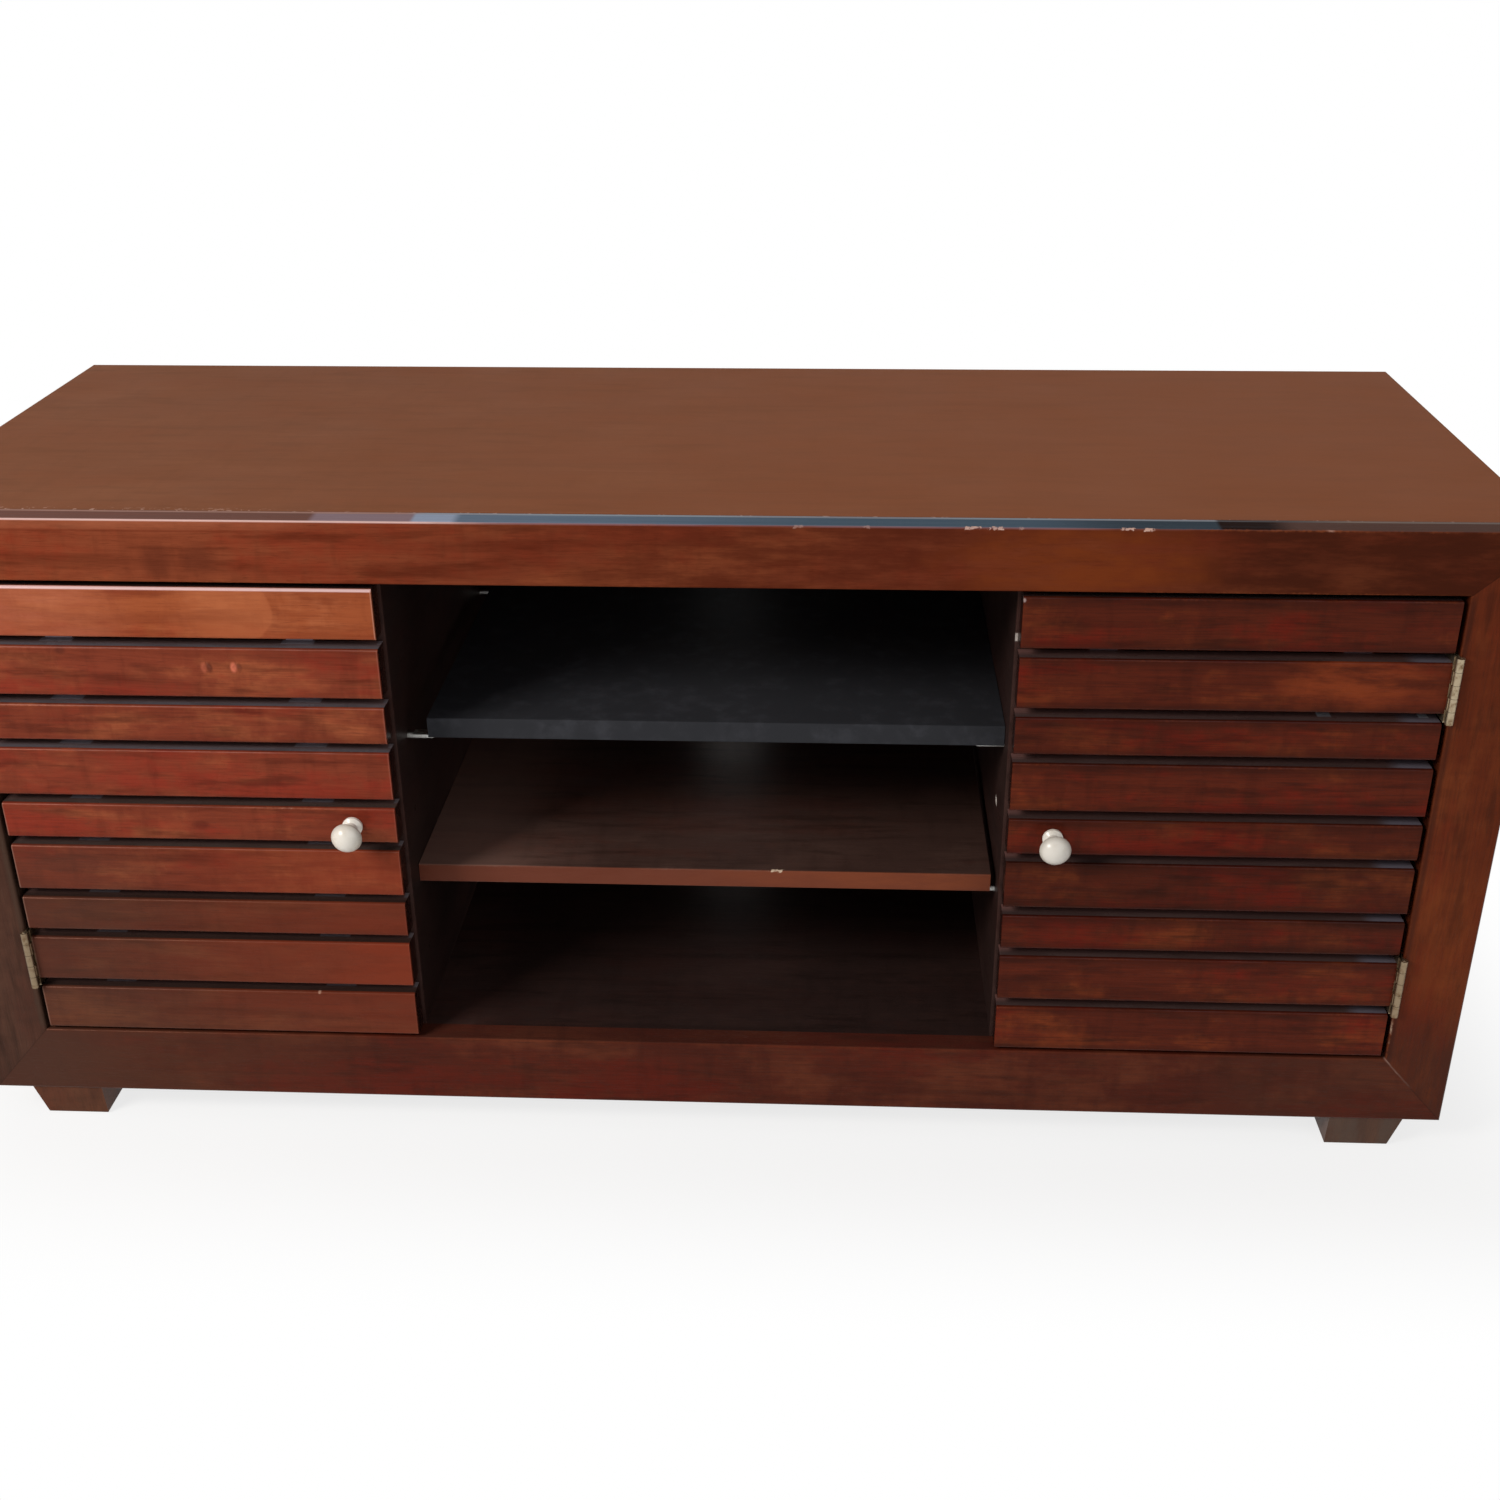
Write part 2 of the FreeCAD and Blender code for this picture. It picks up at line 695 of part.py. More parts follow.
def save_doors():
    """Write every piece that swings."""
    for number in range(1, len(SLAT_PATTERN_SHARES) + 1):
        save_pair("door_slat_" + str(number), slat(number))
    for name, x in zip(("inner", "outer"), BATTEN_XS):
        save_pair("door_batten_" + name, batten(x))
    save_pair("door_knob", knob())
    save_pair("door_strike_plate", strike_plate())
    save_pair("door_hinge_leaves", door_leaves())
    save_pair("door_knob_screw", knob_screw(0))


os.makedirs("parts", exist_ok=True)
save_carcass()
save_doors()
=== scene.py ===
import logging
import math
from dataclasses import dataclass, field, replace
from enum import Enum
from typing import Any

import bpy
import numpy as np
from mathutils import Matrix, Vector


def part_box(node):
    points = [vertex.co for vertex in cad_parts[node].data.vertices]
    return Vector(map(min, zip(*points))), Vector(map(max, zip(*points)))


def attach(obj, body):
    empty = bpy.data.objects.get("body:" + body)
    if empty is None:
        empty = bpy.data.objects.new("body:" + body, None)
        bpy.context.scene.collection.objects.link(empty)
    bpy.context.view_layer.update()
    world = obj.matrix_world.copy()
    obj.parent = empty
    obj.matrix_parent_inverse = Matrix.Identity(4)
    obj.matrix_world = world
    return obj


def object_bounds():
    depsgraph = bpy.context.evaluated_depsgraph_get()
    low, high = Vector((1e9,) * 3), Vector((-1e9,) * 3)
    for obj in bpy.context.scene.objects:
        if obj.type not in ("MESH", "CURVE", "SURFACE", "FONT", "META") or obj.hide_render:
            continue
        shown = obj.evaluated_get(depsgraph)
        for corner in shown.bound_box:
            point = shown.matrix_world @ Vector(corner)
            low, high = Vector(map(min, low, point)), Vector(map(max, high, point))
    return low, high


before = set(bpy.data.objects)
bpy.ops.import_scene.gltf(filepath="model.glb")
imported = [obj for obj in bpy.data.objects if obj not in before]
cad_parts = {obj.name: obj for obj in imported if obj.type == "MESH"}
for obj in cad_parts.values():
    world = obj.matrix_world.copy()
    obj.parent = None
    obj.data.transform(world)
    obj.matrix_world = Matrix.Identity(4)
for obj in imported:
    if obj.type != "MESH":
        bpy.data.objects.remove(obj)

# The finish and the small fittings of a slatted television cabinet, in metres. X runs to the
# right along the front, Y from the front to the back, and Z up from the floor.

CAD_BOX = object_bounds()
LOG = logging.getLogger("tv_cabinet")

Colour = tuple[float, float, float]
Place = tuple[float, float, float]

MM = 0.001
X, Y, Z = range(3)
# The mask of a board's top face starts this far below it
SKIN = 0.5 * MM


def middle(node: str) -> Vector:
    """Return the middle of a node's box."""
    low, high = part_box(node)
    return (low + high) / 2


def down_to(table: tuple[tuple[int, Any], ...], number: int) -> Any:
    """Return a slat's entry in a table that names the last slat each entry holds for."""
    return next(entry for last, entry in table if number <= last)


def linear(colour: Colour) -> tuple[float, float, float, float]:
    """Turn a colour as the eye reads it into the linear values that a shader takes.

    Args:
        colour: red, green and blue from 0 to 255.

    Returns:
        Linear red, green and blue from 0 to 1, and an alpha of 1.
    """
    unit = np.asarray(colour, float) / 255
    low = unit / 12.92
    high = ((unit + 0.055) / 1.055) ** 2.4
    red, green, blue = np.where(unit <= 0.04045, low, high)
    return float(red), float(green), float(blue), 1.0


class Side(Enum):
    """The two sides of the cabinet, as the sign of X."""

    LEFT = -1
    RIGHT = 1

    @property
    def word(self) -> str:
        """The side's name as nodes spell it."""
        return self.name.lower()


class Grain(Enum):
    """The axis along which a board's grain runs, and the one across its face."""

    ACROSS = (X, Z)
    FLAT = (X, Y)
    DEEP = (Y, Z)
    UPRIGHT = (Z, X)

    @property
    def along(self) -> int:
        """The axis of the grain."""
        return self.value[0]

    @property
    def across(self) -> int:
        """The axis across the board's face."""
        return self.value[1]


class Tree:
    """A node tree that is being written."""

    def __init__(self, tree: bpy.types.NodeTree) -> None:
        """Start with an empty tree."""
        self.tree = tree
        self.tree.nodes.clear()

    def node(
        self,
        kind: str,
        settings: dict[str, Any] | None = None,
        inputs: dict[str | int, Any] | None = None,
    ) -> bpy.types.Node:
        """Add a node.

        Args:
            kind: the node's type.
            settings: its own settings, set before its sockets.
            inputs: values or links for its sockets, by name or place.

        Returns:
            The node.
        """
        node = self.tree.nodes.new(kind)
        for key, value in (settings or {}).items():
            setattr(node, key, value)
        for key, value in (inputs or {}).items():
            self.feed(node.inputs[key], value)
        return node

    def feed(self, socket: bpy.types.NodeSocket, value: Any) -> None:
        """Link a value or a socket to a socket, or set a plain number or colour on it.

        Args:
            socket: the input that takes it.
            value: what it takes.
        """
        if isinstance(value, Value):
            value = value.socket
        if isinstance(value, bpy.types.NodeSocket):
            self.tree.links.new(value, socket)
        else:
            socket.default_value = value

    def value(self, node: bpy.types.Node, output: str | int = 0) -> "Value":
        """Return a node's output as a value."""
        return Value(self, node.outputs[output])

    def math(self, operation: str, *terms: Any) -> "Value":
        """Return the result of one Math node."""
        settings = {"operation": operation}
        return self.value(self.node("ShaderNodeMath", settings, dict(enumerate(terms))))

    def blend(self, under: Any, over: Any, mask: Any) -> bpy.types.NodeSocket:
        """Lay one colour over another.

        Args:
            under: the colour, or its socket, where the mask is 0.
            over: the colour, or its socket, where the mask is 1.
            mask: how much of the upper colour shows.

        Returns:
            The mixed colour's socket.
        """
        settings = {"data_type": "RGBA", "clamp_factor": True}
        return self.node("ShaderNodeMix", settings, {0: mask, 6: under, 7: over}).outputs[2]


class Value:
    """A number that varies over a surface: a socket whose arithmetic adds Math nodes."""

    def __init__(self, tree: Tree, socket: bpy.types.NodeSocket) -> None:
        """Hold a socket of a node tree."""
        self.tree = tree
        self.socket = socket

    def __add__(self, other: Any) -> "Value":
        """Add a value or a number."""
        return self.tree.math("ADD", self, other)

    __radd__ = __add__

    def __sub__(self, other: Any) -> "Value":
        """Subtract a value or a number."""
        return self.tree.math("SUBTRACT", self, other)

    def __rsub__(self, other: Any) -> "Value":
        """Subtract this value from a number."""
        return self.tree.math("SUBTRACT", other, self)

    def __mul__(self, other: Any) -> "Value":
        """Multiply by a value or a number."""
        return self.tree.math("MULTIPLY", self, other)

    __rmul__ = __mul__

    def __pow__(self, power: float) -> "Value":
        """Raise to a power."""
        return self.tree.math("POWER", self, power)

    def __abs__(self) -> "Value":
        """Return the size without its sign."""
        return self.tree.math("ABSOLUTE", self)

    def larger(self, other: Any) -> "Value":
        """Return the larger of this and another value."""
        return self.tree.math("MAXIMUM", self, other)

    def smooth(self, start: float, end: float) -> "Value":
        """Rise smoothly from 0 at a start to 1 at an end, which may lie below the start.

        Args:
            start: the number that gives 0.
            end: the number that gives 1.

        Returns:
            The risen value.
        """
        first, last = (0.0, 1.0) if start < end else (1.0, 0.0)
        settings = {"interpolation_type": "SMOOTHSTEP"}
        inputs = {
            "Value": self,
            "From Min": min(start, end),
            "From Max": max(start, end),
            "To Min": first,
            "To Max": last,
        }
        return self.tree.value(self.tree.node("ShaderNodeMapRange", settings, inputs))


class Shader(Tree):
    """A material that is being written, with the place on the surface."""

    def __init__(self, name: str) -> None:
        """Start an empty material.

        Args:
            name: the material's name.
        """
        self.material = bpy.data.materials.new(name)
        self.material.use_nodes = True
        super().__init__(self.material.node_tree)
        self.output = self.node("ShaderNodeOutputMaterial")
        self.place = self.node("ShaderNodeTexCoord").outputs["Object"]
        parts = self.node("ShaderNodeSeparateXYZ", inputs={0: self.place})
        self.axes = [self.value(parts, axis) for axis in (X, Y, Z)]

    def noise(
        self,
        scale: float | Place,
        shift: float,
        detail: float = 3.0,
        rough: float = 0.55,
        place: Any = None,
    ) -> Value:
        """Return a cloud of values about 0.5.

        Args:
            scale: how many lumps there are in a metre, the same way round or along each axis.
            shift: a number that picks another stretch of the cloud.
            detail: how many finer layers it has.
            rough: how strong the finer layers are.
            place: the coordinates that it is read at, or the place on the surface.

        Returns:
            The cloud.
        """
        start = (shift * 1.37, shift * 2.91, shift * 0.73)
        scale = (scale, scale, scale) if isinstance(scale, float) else scale
        placed = self.node("ShaderNodeMapping", inputs={0: place or self.place, 1: start, 3: scale})
        inputs = {"Vector": placed.outputs[0], "Scale": 1.0, "Detail": detail, "Roughness": rough}
        return self.value(self.node("ShaderNodeTexNoise", inputs=inputs))

    def near(self, axis: int, at: float, half: float, soft: float) -> Value:
        """Return 1 within a stretch of an axis, falling to 0 over a soft end."""
        return abs(self.axes[axis] - at).smooth(half + soft, half)

    def blob(
        self,
        centre: tuple[float, float],
        radii: tuple[float, float],
        soft: float,
        wobble: float,
    ) -> Value:
        """Return 1 within an ellipse on the front, with a wandering edge.

        The ellipse is where ((x - cx) / rx) squared plus ((z - cz) / rz) squared is less than 1.

        Args:
            centre: where it lies on X and Z.
            radii: its half width and half height.
            soft: how wide its edge is, as a share of its radii.
            wobble: how far its edge wanders, as a share of its radii.

        Returns:
            The mask.
        """
        across = (self.axes[X] - centre[0]) * (1 / radii[0])
        up = (self.axes[Z] - centre[1]) * (1 / radii[1])
        wander = self.noise(40.0, centre[0] * 7, detail=4.0) - 0.5
        away = (across * across + up * up) ** 0.5 + wander * wobble
        return away.smooth(1 + soft, 1 - soft)

    def bump(self, height: Value, depth: float) -> bpy.types.NodeSocket:
        """Return a normal that a height field tips, with the field's full depth in metres."""
        inputs = {"Strength": 1.0, "Distance": depth, "Height": height}
        return self.node("ShaderNodeBump", inputs=inputs).outputs[0]

    def finish(self, settings: dict[str, Any]) -> bpy.types.Material:
        """Close the material with a surface shader.

        Args:
            settings: values or links for its sockets.

        Returns:
            The material.
        """
        surface = self.node("ShaderNodeBsdfPrincipled", inputs=settings)
        self.feed(self.output.inputs[0], surface.outputs[0])
        return self.material


@dataclass(frozen=True)
class Arris:
    """An edge of a board that runs along an axis: two other axes and where it lies on them."""

    first: int
    first_at: float
    second: int
    second_at: float

    def reach(self, shader: Shader) -> Value:
        """Return the distance from the edge, measured square along the nearer faces.

        Args:
            shader: the material that is being written.

        Returns:
            The distance.
        """
        one = abs(shader.axes[self.first] - self.first_at)
        two = abs(shader.axes[self.second] - self.second_at)
        return one.larger(two)


@dataclass(frozen=True)
class Span:
    """A short worn stretch of an edge: its middle, its half length and how bare it is."""

    middle: float
    half: float
    show: float = 1.0

    def cover(self, shader: Shader, axis: int, ragged: Value) -> Value:
        """Return how bare the edge is there.

        Args:
            shader: the material that is being written.
            axis: the axis along which the edge runs.
            ragged: a cloud that makes the ends wander.

        Returns:
            The mask.
        """
        away = abs(shader.axes[axis] - self.middle) + (ragged - 0.5) * (self.half * 2.4)
        return away.smooth(self.half, self.half * 0.7) * self.show


@dataclass(frozen=True)
class Mark:
    """A spot of another colour on a board's front: its place on X and Z, and how it looks.

    Soft and wobble are for its edge, and least is the share that the grain leaves unbroken.
    """

    at: tuple[float, float]
    radii: tuple[float, float]
    colour: Colour
    strength: float = 0.5
    soft: float = 0.5
    wobble: float = 0.8
    least: float = 1.0


@dataclass(frozen=True)
class Wash:
    """A slow change of colour along a board: where it starts, where it is full, and its look.

    Least is the share of it that the grain leaves unbroken.
    """

    start: float
    full: float
    colour: Colour
    strength: float
    least: float = 1.0


@dataclass(frozen=True)
class Figure:
    """A cloud that follows the grain: lumps a metre along and across it, and how they look."""

    along: float
    across: float
    step: float
    detail: float = 4.0
    rough: float = 0.55


# The clouds that make up the figure of every board, each from another stretch of the noise
BEND = Figure(2.2, 6.0, 9.0, detail=2.0)
STROKES = Figure(15.0, 95.0, 5.1)
STREAKS = Figure(3.5, 55.0, 3.7)
FIBRES = Figure(26.0, 760.0, 8.3, detail=2.0)
CLOUDS = Figure(9.0, 18.0, 2.7, rough=0.58)
REDS = Figure(5.0, 22.0, 6.9, rough=0.6)
RIPPLE = Figure(80.0, 20.0, 4.6, detail=3.0)
PORES = Figure(90.0, 1500.0, 1.9, detail=1.0)
BREAKS = Figure(13.0, 60.0, 6.2, detail=5.0, rough=0.65)
SHADE_WANDER = Figure(12.0, 30.0, 1.1, detail=3.0)
SPARSE = Figure(9.0, 4.0, 7.7, rough=0.7)
LINES = Figure(9.0, 380.0, 2.2)


@dataclass(frozen=True)
class Stain:
    """A stained timber under lacquer: its colours, its shine, and how strong its figure is.

    The body is the main colour, the deep one fills the dark streaks and pores, the glow shows
    in light patches, the flush in red ones, and the pale one where the lacquer is chipped.
    """

    name: str
    deep: Colour
    body: Colour
    glow: Colour
    flush: Colour
    pale: Colour = (206, 182, 158)
    rough: float = 0.27
    specular: float = 0.13
    sheen_tint: Colour = (255, 190, 165)
    streak: float = 0.6
    figure: float = 0.8
    fibre: float = 0.2
    pores: float = 0.3
    relief: float = 0.00005

    def lit(self, gain: float, name: str) -> "Stain":
        """Return the same stain on a lighter or darker board.

        Args:
            gain: the factor on its colours.
            name: the new stain's name.

        Returns:
            The stain.
        """
        keys = ("deep", "body", "glow", "flush")
        colours = {key: tuple(part * gain for part in getattr(self, key)) for key in keys}
        return replace(self, name=name, **colours)


AMBER_CHERRY = Stain(
    "amber_cherry", (108, 42, 22), (153, 79, 46), (174, 101, 65), (148, 64, 37), figure=0.9,
)
CHERRY = Stain("cherry", (70, 24, 16), (125, 56, 37), (160, 87, 55), (134, 47, 32), figure=0.95)
RAIL_CHERRY = Stain(
    "rail_cherry", (78, 32, 19), (128, 64, 41), (152, 82, 50), (131, 53, 33), (216, 178, 162),
    specular=0.002,
)
RED_CHERRY = Stain(
    "red_cherry", (40, 14, 10), (85, 32, 19), (124, 57, 28), (106, 27, 16),
    streak=0.7, figure=1.0, fibre=0.28,
)
BROWN_CHERRY = Stain("brown_cherry", (48, 23, 15), (84, 44, 31), (106, 62, 41), (86, 38, 26))
STILE_CHERRY = Stain("stile_cherry", (54, 20, 10), (96, 39, 18), (118, 57, 28), (104, 32, 16))
SIDE_CHERRY = Stain(
    "side_cherry", (54, 22, 14), (92, 40, 25), (116, 58, 36), (100, 36, 22),
    specular=0.03, streak=0.45, figure=0.7, fibre=0.12, pores=0.15,
)
DULL_CHERRY = Stain("dull_cherry", (40, 26, 20), (68, 43, 34), (84, 56, 44), (74, 42, 33))
BASE_CHERRY = Stain(
    "base_cherry", (44, 17, 12), (76, 30, 20), (97, 47, 30), (88, 27, 17), figure=1.0,
)
INSIDE = Stain("inside", (32, 23, 21), (62, 45, 42), (78, 55, 50), (66, 42, 38), rough=0.45)
SHELF = Stain("shelf", (58, 40, 34), (102, 75, 67), (120, 90, 80), (108, 68, 58), rough=0.4)
TOP = Stain(
    "top", (102, 62, 39), (126, 77, 51), (136, 86, 59), (127, 74, 47),
    rough=0.5, specular=0.012, streak=0.35, figure=0.5, fibre=0.14, pores=0.1, relief=0.00002,
)
FOOT = Stain(
    "foot", (56, 32, 22), (90, 54, 38), (110, 70, 48), (92, 50, 34), rough=0.42, specular=0.1,
)
BARE_PINE = Stain(
    "bare_pine", (150, 112, 72), (186, 148, 102), (204, 168, 120), (190, 146, 100),
    rough=0.7, sheen_tint=(255, 255, 255),
)
# Painted shade for the faces inside the gaps between the slats
GAP_SHADE = (24, 15, 14)


class Timber:
    """One board: its node, the way its grain runs, and where it is worn."""

    def __init__(self, node: str, stain: Stain, grain: Grain) -> None:
        """Note a board's place and finish.

        Args:
            node: the board's node.
            stain: its finish.
            grain: the way its grain runs.
        """
        self.node = node
        self.stain = stain
        self.grain = grain
        self.low, self.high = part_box(node)
        spread = sum(ord(letter) * (index + 1) for index, letter in enumerate(node))
        self.shift = 3.0 + (spread % 97) * 0.61
        self.arrises: list[Arris] = []
        self.chips: list[Span] = []
        self.wear = 1.8 * MM
        self.shader = Shader(stain.name + "_" + node)
        self.tints: list[tuple[Value, Colour, float]] = []
        self.dents: list[Value] = []
        self.gleams: list[tuple[Value, Colour, float]] = []

    def front_arrises(self) -> None:
        """Add the edges of the front face that run along the grain."""
        for at in (self.low[self.grain.across], self.high[self.grain.across]):
            self.arrises.append(Arris(Y, self.low[Y], self.grain.across, at))

    def cloud(self, figure: Figure, place: Any = None) -> Value:
        """Return a cloud that follows the board's grain.

        Args:
            figure: its lumps.
            place: the coordinates that it is read at, or the place on the surface.

        Returns:
            The cloud.
        """
        scale = [figure.across] * 3
        scale[self.grain.along] = figure.along
        shift = self.shift + figure.step
        return self.shader.noise(tuple(scale), shift, figure.detail, figure.rough, place)

    def depth(self) -> Value:
        """Return how far behind the board's front plane the surface lies."""
        return self.shader.axes[Y] - self.low[Y]

    def above(self, skin: float = SKIN) -> Value:
        """Return 1 on the board's top face."""
        return (self.shader.axes[Z] - (self.high[Z] - skin)).smooth(0.0, 0.3 * MM)

    def tint(self, mask: Value, colour: Colour, strength: float) -> None:
        """Lay a patch of another colour over the finished timber."""
        self.tints.append((mask, colour, strength))

    def gleam(self, mask: Value, colour: Colour, strength: float) -> None:
        """Lay a pale line over everything else: a painted highlight where an edge catches the
        light, or a seam rubbed bare.
        """
        self.gleams.append((mask, colour, strength))

    def uneven(self, mask: Value, least: float) -> Value:
        """Break a mask up along the grain, down to its least share, so that no patch lies flat.

        Args:
            mask: the mask.
            least: the share of it that stays everywhere.

        Returns:
            The broken mask.
        """
        if least == 1.0:
            return mask
        return mask * (self.cloud(BREAKS).smooth(0.38, 0.60) * (1 - least) + least)

    def mark(self, marks: tuple[Mark, ...]) -> None:
        """Lay spots on the front.

        Args:
            marks: the spots.
        """
        for spot in marks:
            mask = self.shader.blob(spot.at, spot.radii, spot.soft, spot.wobble)
            self.tint(self.uneven(mask, spot.least), spot.colour, spot.strength)

    def wash(
        self,
        washes: tuple[Wash, ...],
        along: Value | None = None,
        within: Value | None = None,
    ) -> None:
        """Lay slow changes of colour along the board.

        Args:
            washes: the changes.
            along: what they are measured on, or else X.
            within: a mask that holds them in.
        """
        place = along or self.shader.axes[X]
        for wash in washes:
            mask = place.smooth(wash.start, wash.full)
            mask = within * mask if within else mask
            self.tint(self.uneven(mask, wash.least), wash.colour, wash.strength)

    def edge_shade(self, strength: float) -> None:
        """Paint shade on the face, softly darker towards its two long edges.

        Args:
            strength: how dark the edges get.
        """
        across = self.grain.across
        half = (self.high[across] - self.low[across]) / 2
        away = abs(self.shader.axes[across] - (self.low[across] + half))
        wander = (self.cloud(SHADE_WANDER) - 0.5) * 8 * MM
        self.tint((away + wander).smooth(half - 11 * MM, half), self.stain.deep, strength)

    def bent_place(self) -> bpy.types.NodeSocket:
        """Return the place on the surface, moved a little across the grain in slow waves."""
        push = [0.0, 0.0, 0.0]
        push[self.grain.across] = 16.0 * MM
        settings = {"operation": "MULTIPLY_ADD"}
        inputs = {0: self.cloud(BEND), 1: tuple(push), 2: self.shader.place}
        return self.shader.node("ShaderNodeVectorMath", settings, inputs).outputs[0]

    def timber_colour(self) -> tuple[bpy.types.NodeSocket, Value, Value]:
        """Write the grain: strokes, streaks, fibres, light and red clouds, mottling and pores.

        Returns:
            The colour, the strokes that also shape the surface, and the pores.
        """
        shader, stain = self.shader, self.stain
        bent = self.bent_place()
        strokes, streaks, fibres, clouds, reds = (
            self.cloud(figure, bent) for figure in (STROKES, STREAKS, FIBRES, CLOUDS, REDS)
        )
        mottle = shader.noise(78.0, self.shift + 7.2, detail=4.0, rough=0.6)
        ripples = self.cloud(RIPPLE).smooth(0.50, 0.70) * (stain.figure * 0.22)
        pores = self.cloud(PORES).smooth(0.61, 0.70)
        light = clouds * 0.62 + strokes * 0.2 + mottle * 0.18
        red = reds * 0.75 + mottle * 0.25
        layers = (
            (stain.glow, light.smooth(0.46, 0.62) * stain.figure),
            (stain.flush, red.smooth(0.46, 0.62) * stain.figure),
            (stain.deep, strokes.smooth(0.50, 0.72) * stain.streak),
            (stain.deep, streaks.smooth(0.52, 0.72) * (stain.streak * 0.7)),
            (stain.deep, fibres.smooth(0.42, 0.66) * stain.fibre + ripples),
            (stain.deep, pores * stain.pores),
        )
        colour = linear(stain.body)
        for over, mask in layers:
            colour = shader.blend(colour, linear(over), mask)
        return colour, strokes, pores

    def worn(self, colour: bpy.types.NodeSocket) -> tuple[bpy.types.NodeSocket, Value | None]:
        """Rub the listed edges through the lacquer, and knock out the listed chips.

        Args:
            colour: the timber's colour.

        Returns:
            The colour with its wear, and the mask of the bare spots.
        """
        shader, stain = self.shader, self.stain
        if not self.arrises:
            return colour, None
        ragged = shader.noise(420.0, self.shift + 4.0)
        sparse = self.cloud(SPARSE)
        bare: Value | None = None
        rubbed: Value | None = None
        for arris in self.arrises:
            reach = arris.reach(shader) + (ragged - 0.5) * (self.wear * 1.6)
            paler_mask = reach.smooth(self.wear, 0.0)
            chip = paler_mask * sparse.smooth(0.68, 0.72)
            rubbed = paler_mask if rubbed is None else rubbed.larger(paler_mask)
            bare = chip if bare is None else bare.larger(chip)
        for span in self.chips:
            edge = self.arrises[-1].reach(shader) + (ragged - 0.5) * (self.wear * 3.0)
            cover = span.cover(shader, self.grain.along, ragged)
            bare = bare.larger(edge.smooth(self.wear, self.wear * 0.5) * cover)
        colour = shader.blend(colour, linear(stain.glow), rubbed * sparse.smooth(0.40, 0.75) * 0.7)
        return shader.blend(colour, linear(stain.pale), bare * 0.9), bare

    def dress(self) -> None:
        """Write the board's material and give it to the node."""
        shader, stain = self.shader, self.stain
        colour, lines, pores = self.timber_colour()
        for mask, tint, strength in self.tints:
            colour = shader.blend(colour, linear(tint), mask * strength)
        colour, bare = self.worn(colour)
        # Painted highlights, and seams rubbed bare, go over the wear
        for mask, tint, strength in self.gleams:
            colour = shader.blend(colour, linear(tint), mask * strength)
        smears = shader.noise(14.0, self.shift + 3.3, detail=4.0)
        rough = smears * 0.14 + (stain.rough - 0.07) + pores * 0.06
        height = lines * 0.5 + smears * 0.3 - pores
        if bare is not None:
            rough = rough + bare * 0.4
            height = height - bare * 4.0
        for dent in self.dents:
            height = height - dent * 14.0
        paint(self.node, shader.finish({
            "Base Color": colour,
            "Roughness": rough,
            "Specular IOR Level": stain.specular,
            "Specular Tint": linear(stain.sheen_tint),
            "Normal": shader.bump(height, stain.relief),
        }))


def paint(node: str, material: bpy.types.Material) -> None:
    """Give every material slot of a node one material.

    Args:
        node: the node.
        material: its material.
    """
    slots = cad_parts[node].data.materials
    slots.clear()
    slots.append(material)


@dataclass(frozen=True)
class Metal:
    """A plated or bare metal: its colour, its tarnish and how it shines."""

    name: str
    bright: Colour
    dull: Colour
    rough: float
    dim_below: float = 0.0

    def material(self) -> bpy.types.Material:
        """Write the metal: tarnish in patches, fine scratches, and duller near the floor."""
        shader = Shader(self.name)
        patches = shader.noise(160.0, 4.4, detail=5.0, rough=0.65)
        scratches = shader.noise((900.0, 900.0, 60.0), 9.1, detail=2.0)
        tarnish = patches.smooth(0.46, 0.72)
        colour = shader.blend(linear(self.bright), linear(self.dull), tarnish)
        if self.dim_below:
            low = shader.axes[Z].smooth(self.dim_below, self.dim_below - 0.02)
            colour = shader.blend(colour, linear(self.dull), low * 0.55)
        return shader.finish({
            "Base Color": colour,
            "Metallic": 1.0,
            "Roughness": tarnish * 0.25 + scratches * 0.1 + self.rough,
            "Normal": shader.bump(scratches + patches * 2.0, 0.00003),
        })


@dataclass(frozen=True)
class Moulded:
    """A smooth moulded, enamelled or foiled surface with a faint texture and handling marks."""

    name: str
    colour: Colour
    worn: Colour
    rough: float
    specular: float = 0.5
    grain: float = 600.0
    relief: float = 0.00002
    # Painted shade at the rim of round pieces
    grime: Colour = (120, 108, 90)

    def material(self, round_about: tuple[Vector, float] | None = None) -> bpy.types.Material:
        """Write the surface.

        Args:
            round_about: the middle and the radius of a round piece, which gets painted shade at its
                rim.

        Returns:
            The material.
        """
        shader = Shader(self.name)
        marks = shader.noise(55.0, 2.2, detail=5.0, rough=0.6)
        fine = shader.noise(self.grain, 6.1, detail=2.0)
        colour = shader.blend(linear(self.colour), linear(self.worn), marks.smooth(0.45, 0.75))
        if round_about:
            centre, radius = round_about
            across, up = (shader.axes[axis] - centre[axis] for axis in (X, Z))
            away = (across * across + up * up) ** 0.5
            # Painted shade towards the rim of a round piece
            rim = away.smooth(radius * 0.75, radius * 1.05)
            colour = shader.blend(colour, linear(self.grime), rim * 0.35)
        return shader.finish({
            "Base Color": colour,
            "Roughness": marks * 0.12 + fine * 0.06 + (self.rough - 0.09),
            "Specular IOR Level": self.specular,
            "Normal": shader.bump(fine + marks, self.relief),
        })


BRASS = Metal("brass_plate", (172, 156, 130), (112, 88, 64), rough=0.34, dim_below=0.25)
ZINC = Metal("zinc_plate", (196, 196, 192), (140, 138, 132), rough=0.34)
ENAMEL = Moulded("ivory_enamel", (226, 221, 212), (212, 203, 188), rough=0.26)
BLACK_FOIL = Moulded(
    "black_foil", (46, 47, 51), (57, 58, 63), rough=0.6, specular=0.06, grain=260.0,
)
CATCH_BROWN = Moulded("catch_brown", (92, 58, 40), (104, 68, 48), rough=0.45)
HARDBOARD = Moulded(
    "hardboard", (52, 28, 19), (64, 36, 25), rough=0.62, specular=0.2, grain=380.0,
    relief=0.00008,
)


